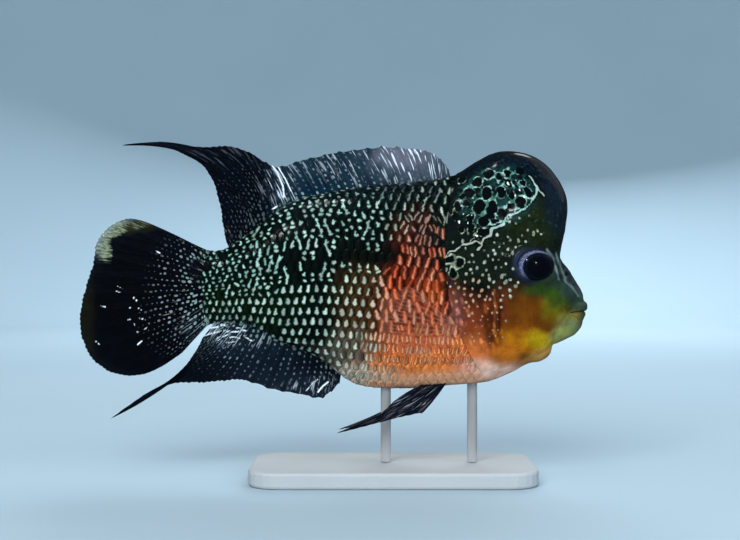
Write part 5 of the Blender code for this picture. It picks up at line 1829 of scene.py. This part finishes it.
def add_stage():
    """Profile: flat to FLOOR_RADIUS, then a quarter ellipse up to the wall's height."""
    curl = np.linspace(0, np.pi / 2, 24)
    radius = np.concatenate([[1.0, 300.0, 800.0], FLOOR_RADIUS + (WALL_RADIUS - FLOOR_RADIUS) * np.sin(curl)])
    height = np.concatenate([[0.0, 0.0, 0.0], WALL_HEIGHT * (1 - np.cos(curl))])
    turn = np.linspace(0, 2 * np.pi, 97)[:-1]
    points = np.stack([radius[:, None] * np.cos(turn), radius[:, None] * np.sin(turn),
                       height[:, None] + 0 * turn - 0.05], -1)
    middle = np.arange(len(turn))[None]
    faces = quads(*points.shape[:2], around=True, flip=True)
    mesh = mesh_of("studio_floor", points.reshape(-1, 3), faces, middle)
    finish = Finish("pale studio floor", roughness=0.7)
    cloud = finish.noise(finish.places(), 400.0, 2.0)
    finish.set("Base Color", finish.mix(cloud, (0.36, 0.49, 0.58), (0.42, 0.56, 0.65)))
    floor = put("studio_floor", mesh)
    mesh.materials.append(finish.material)
    floor.visible_glossy = False


add_stage()

# %% [markdown]
# Light a wet dark fish like a polished black car. Broad soft lights give the colours but must not mirror in
# the flank, so they are hidden from gloss, and so are the floor and most of the world: a photographer would
# hang black cloth there. Small lights in front, above and behind draw the crisp wet glints.

# %% Lights
AIM = (0.012, 0.0, 0.09)
WARM_WHITE, COOL_WHITE, WHITE = (1.0, 0.98, 0.95), (0.93, 0.97, 1.0), (1, 1, 1)


def add_light(name, place, size, watts, colour=WHITE, in_gloss=True):
    """A round lamp that looks at AIM; its size in metres sets how soft its glint is."""
    light = bpy.data.lights.new(name, "AREA")
    light.shape = "DISK"
    light.size = size
    light.energy = watts
    light.color = colour
    lamp = put(name, light)
    lamp.location = place
    towards = [a - b for a, b in zip(AIM, place)]
    flat = math.hypot(towards[0], towards[1])
    lamp.rotation_euler = (math.atan2(flat, -towards[2]), 0, math.atan2(towards[1], towards[0]) - math.pi / 2)
    lamp.visible_glossy = in_gloss


add_light("soft front light", (-0.5, -1.5, 1.1), 1.4, 34.0, WARM_WHITE, in_gloss=False)
add_light("soft right light", (1.3, -0.9, 0.8), 1.0, 9.0, COOL_WHITE, in_gloss=False)
add_light("soft back light", (0.2, 1.5, 1.0), 1.4, 26.0, COOL_WHITE, in_gloss=False)
add_light("glint above", (-0.15, -0.3, 1.1), 0.16, 0.6)
add_light("glint behind", (0.35, 0.45, 0.9), 0.25, 0.6)
add_light("glint left", (-0.5, -0.95, 0.85), 0.09, 0.9)
add_light("glint front", (0.42, -1.25, 0.42), 0.08, 0.4)
add_light("sheen on the hump", (0.75, 0.3, 0.75), 0.9, 0.45)


def add_world(strength, kept_in_gloss):
    """Strength for what is seen and lit; a reflection sees only the kept share of it."""
    world = bpy.data.worlds.new("studio")
    bpy.context.scene.world = world
    world.use_nodes = True
    tree = world.node_tree
    background = tree.nodes["Background"]
    background.inputs["Color"].default_value = (0.8, 0.9, 1.0, 1.0)
    ray = tree.nodes.new("ShaderNodeLightPath")
    level = tree.nodes.new("ShaderNodeMapRange")
    level.inputs["To Min"].default_value = strength
    level.inputs["To Max"].default_value = strength * kept_in_gloss
    tree.links.new(ray.outputs["Is Glossy Ray"], level.inputs["Value"])
    tree.links.new(level.outputs[0], background.inputs["Strength"])


add_world(0.28, 0.1)
bpy.context.scene.view_settings.view_transform = "Standard"
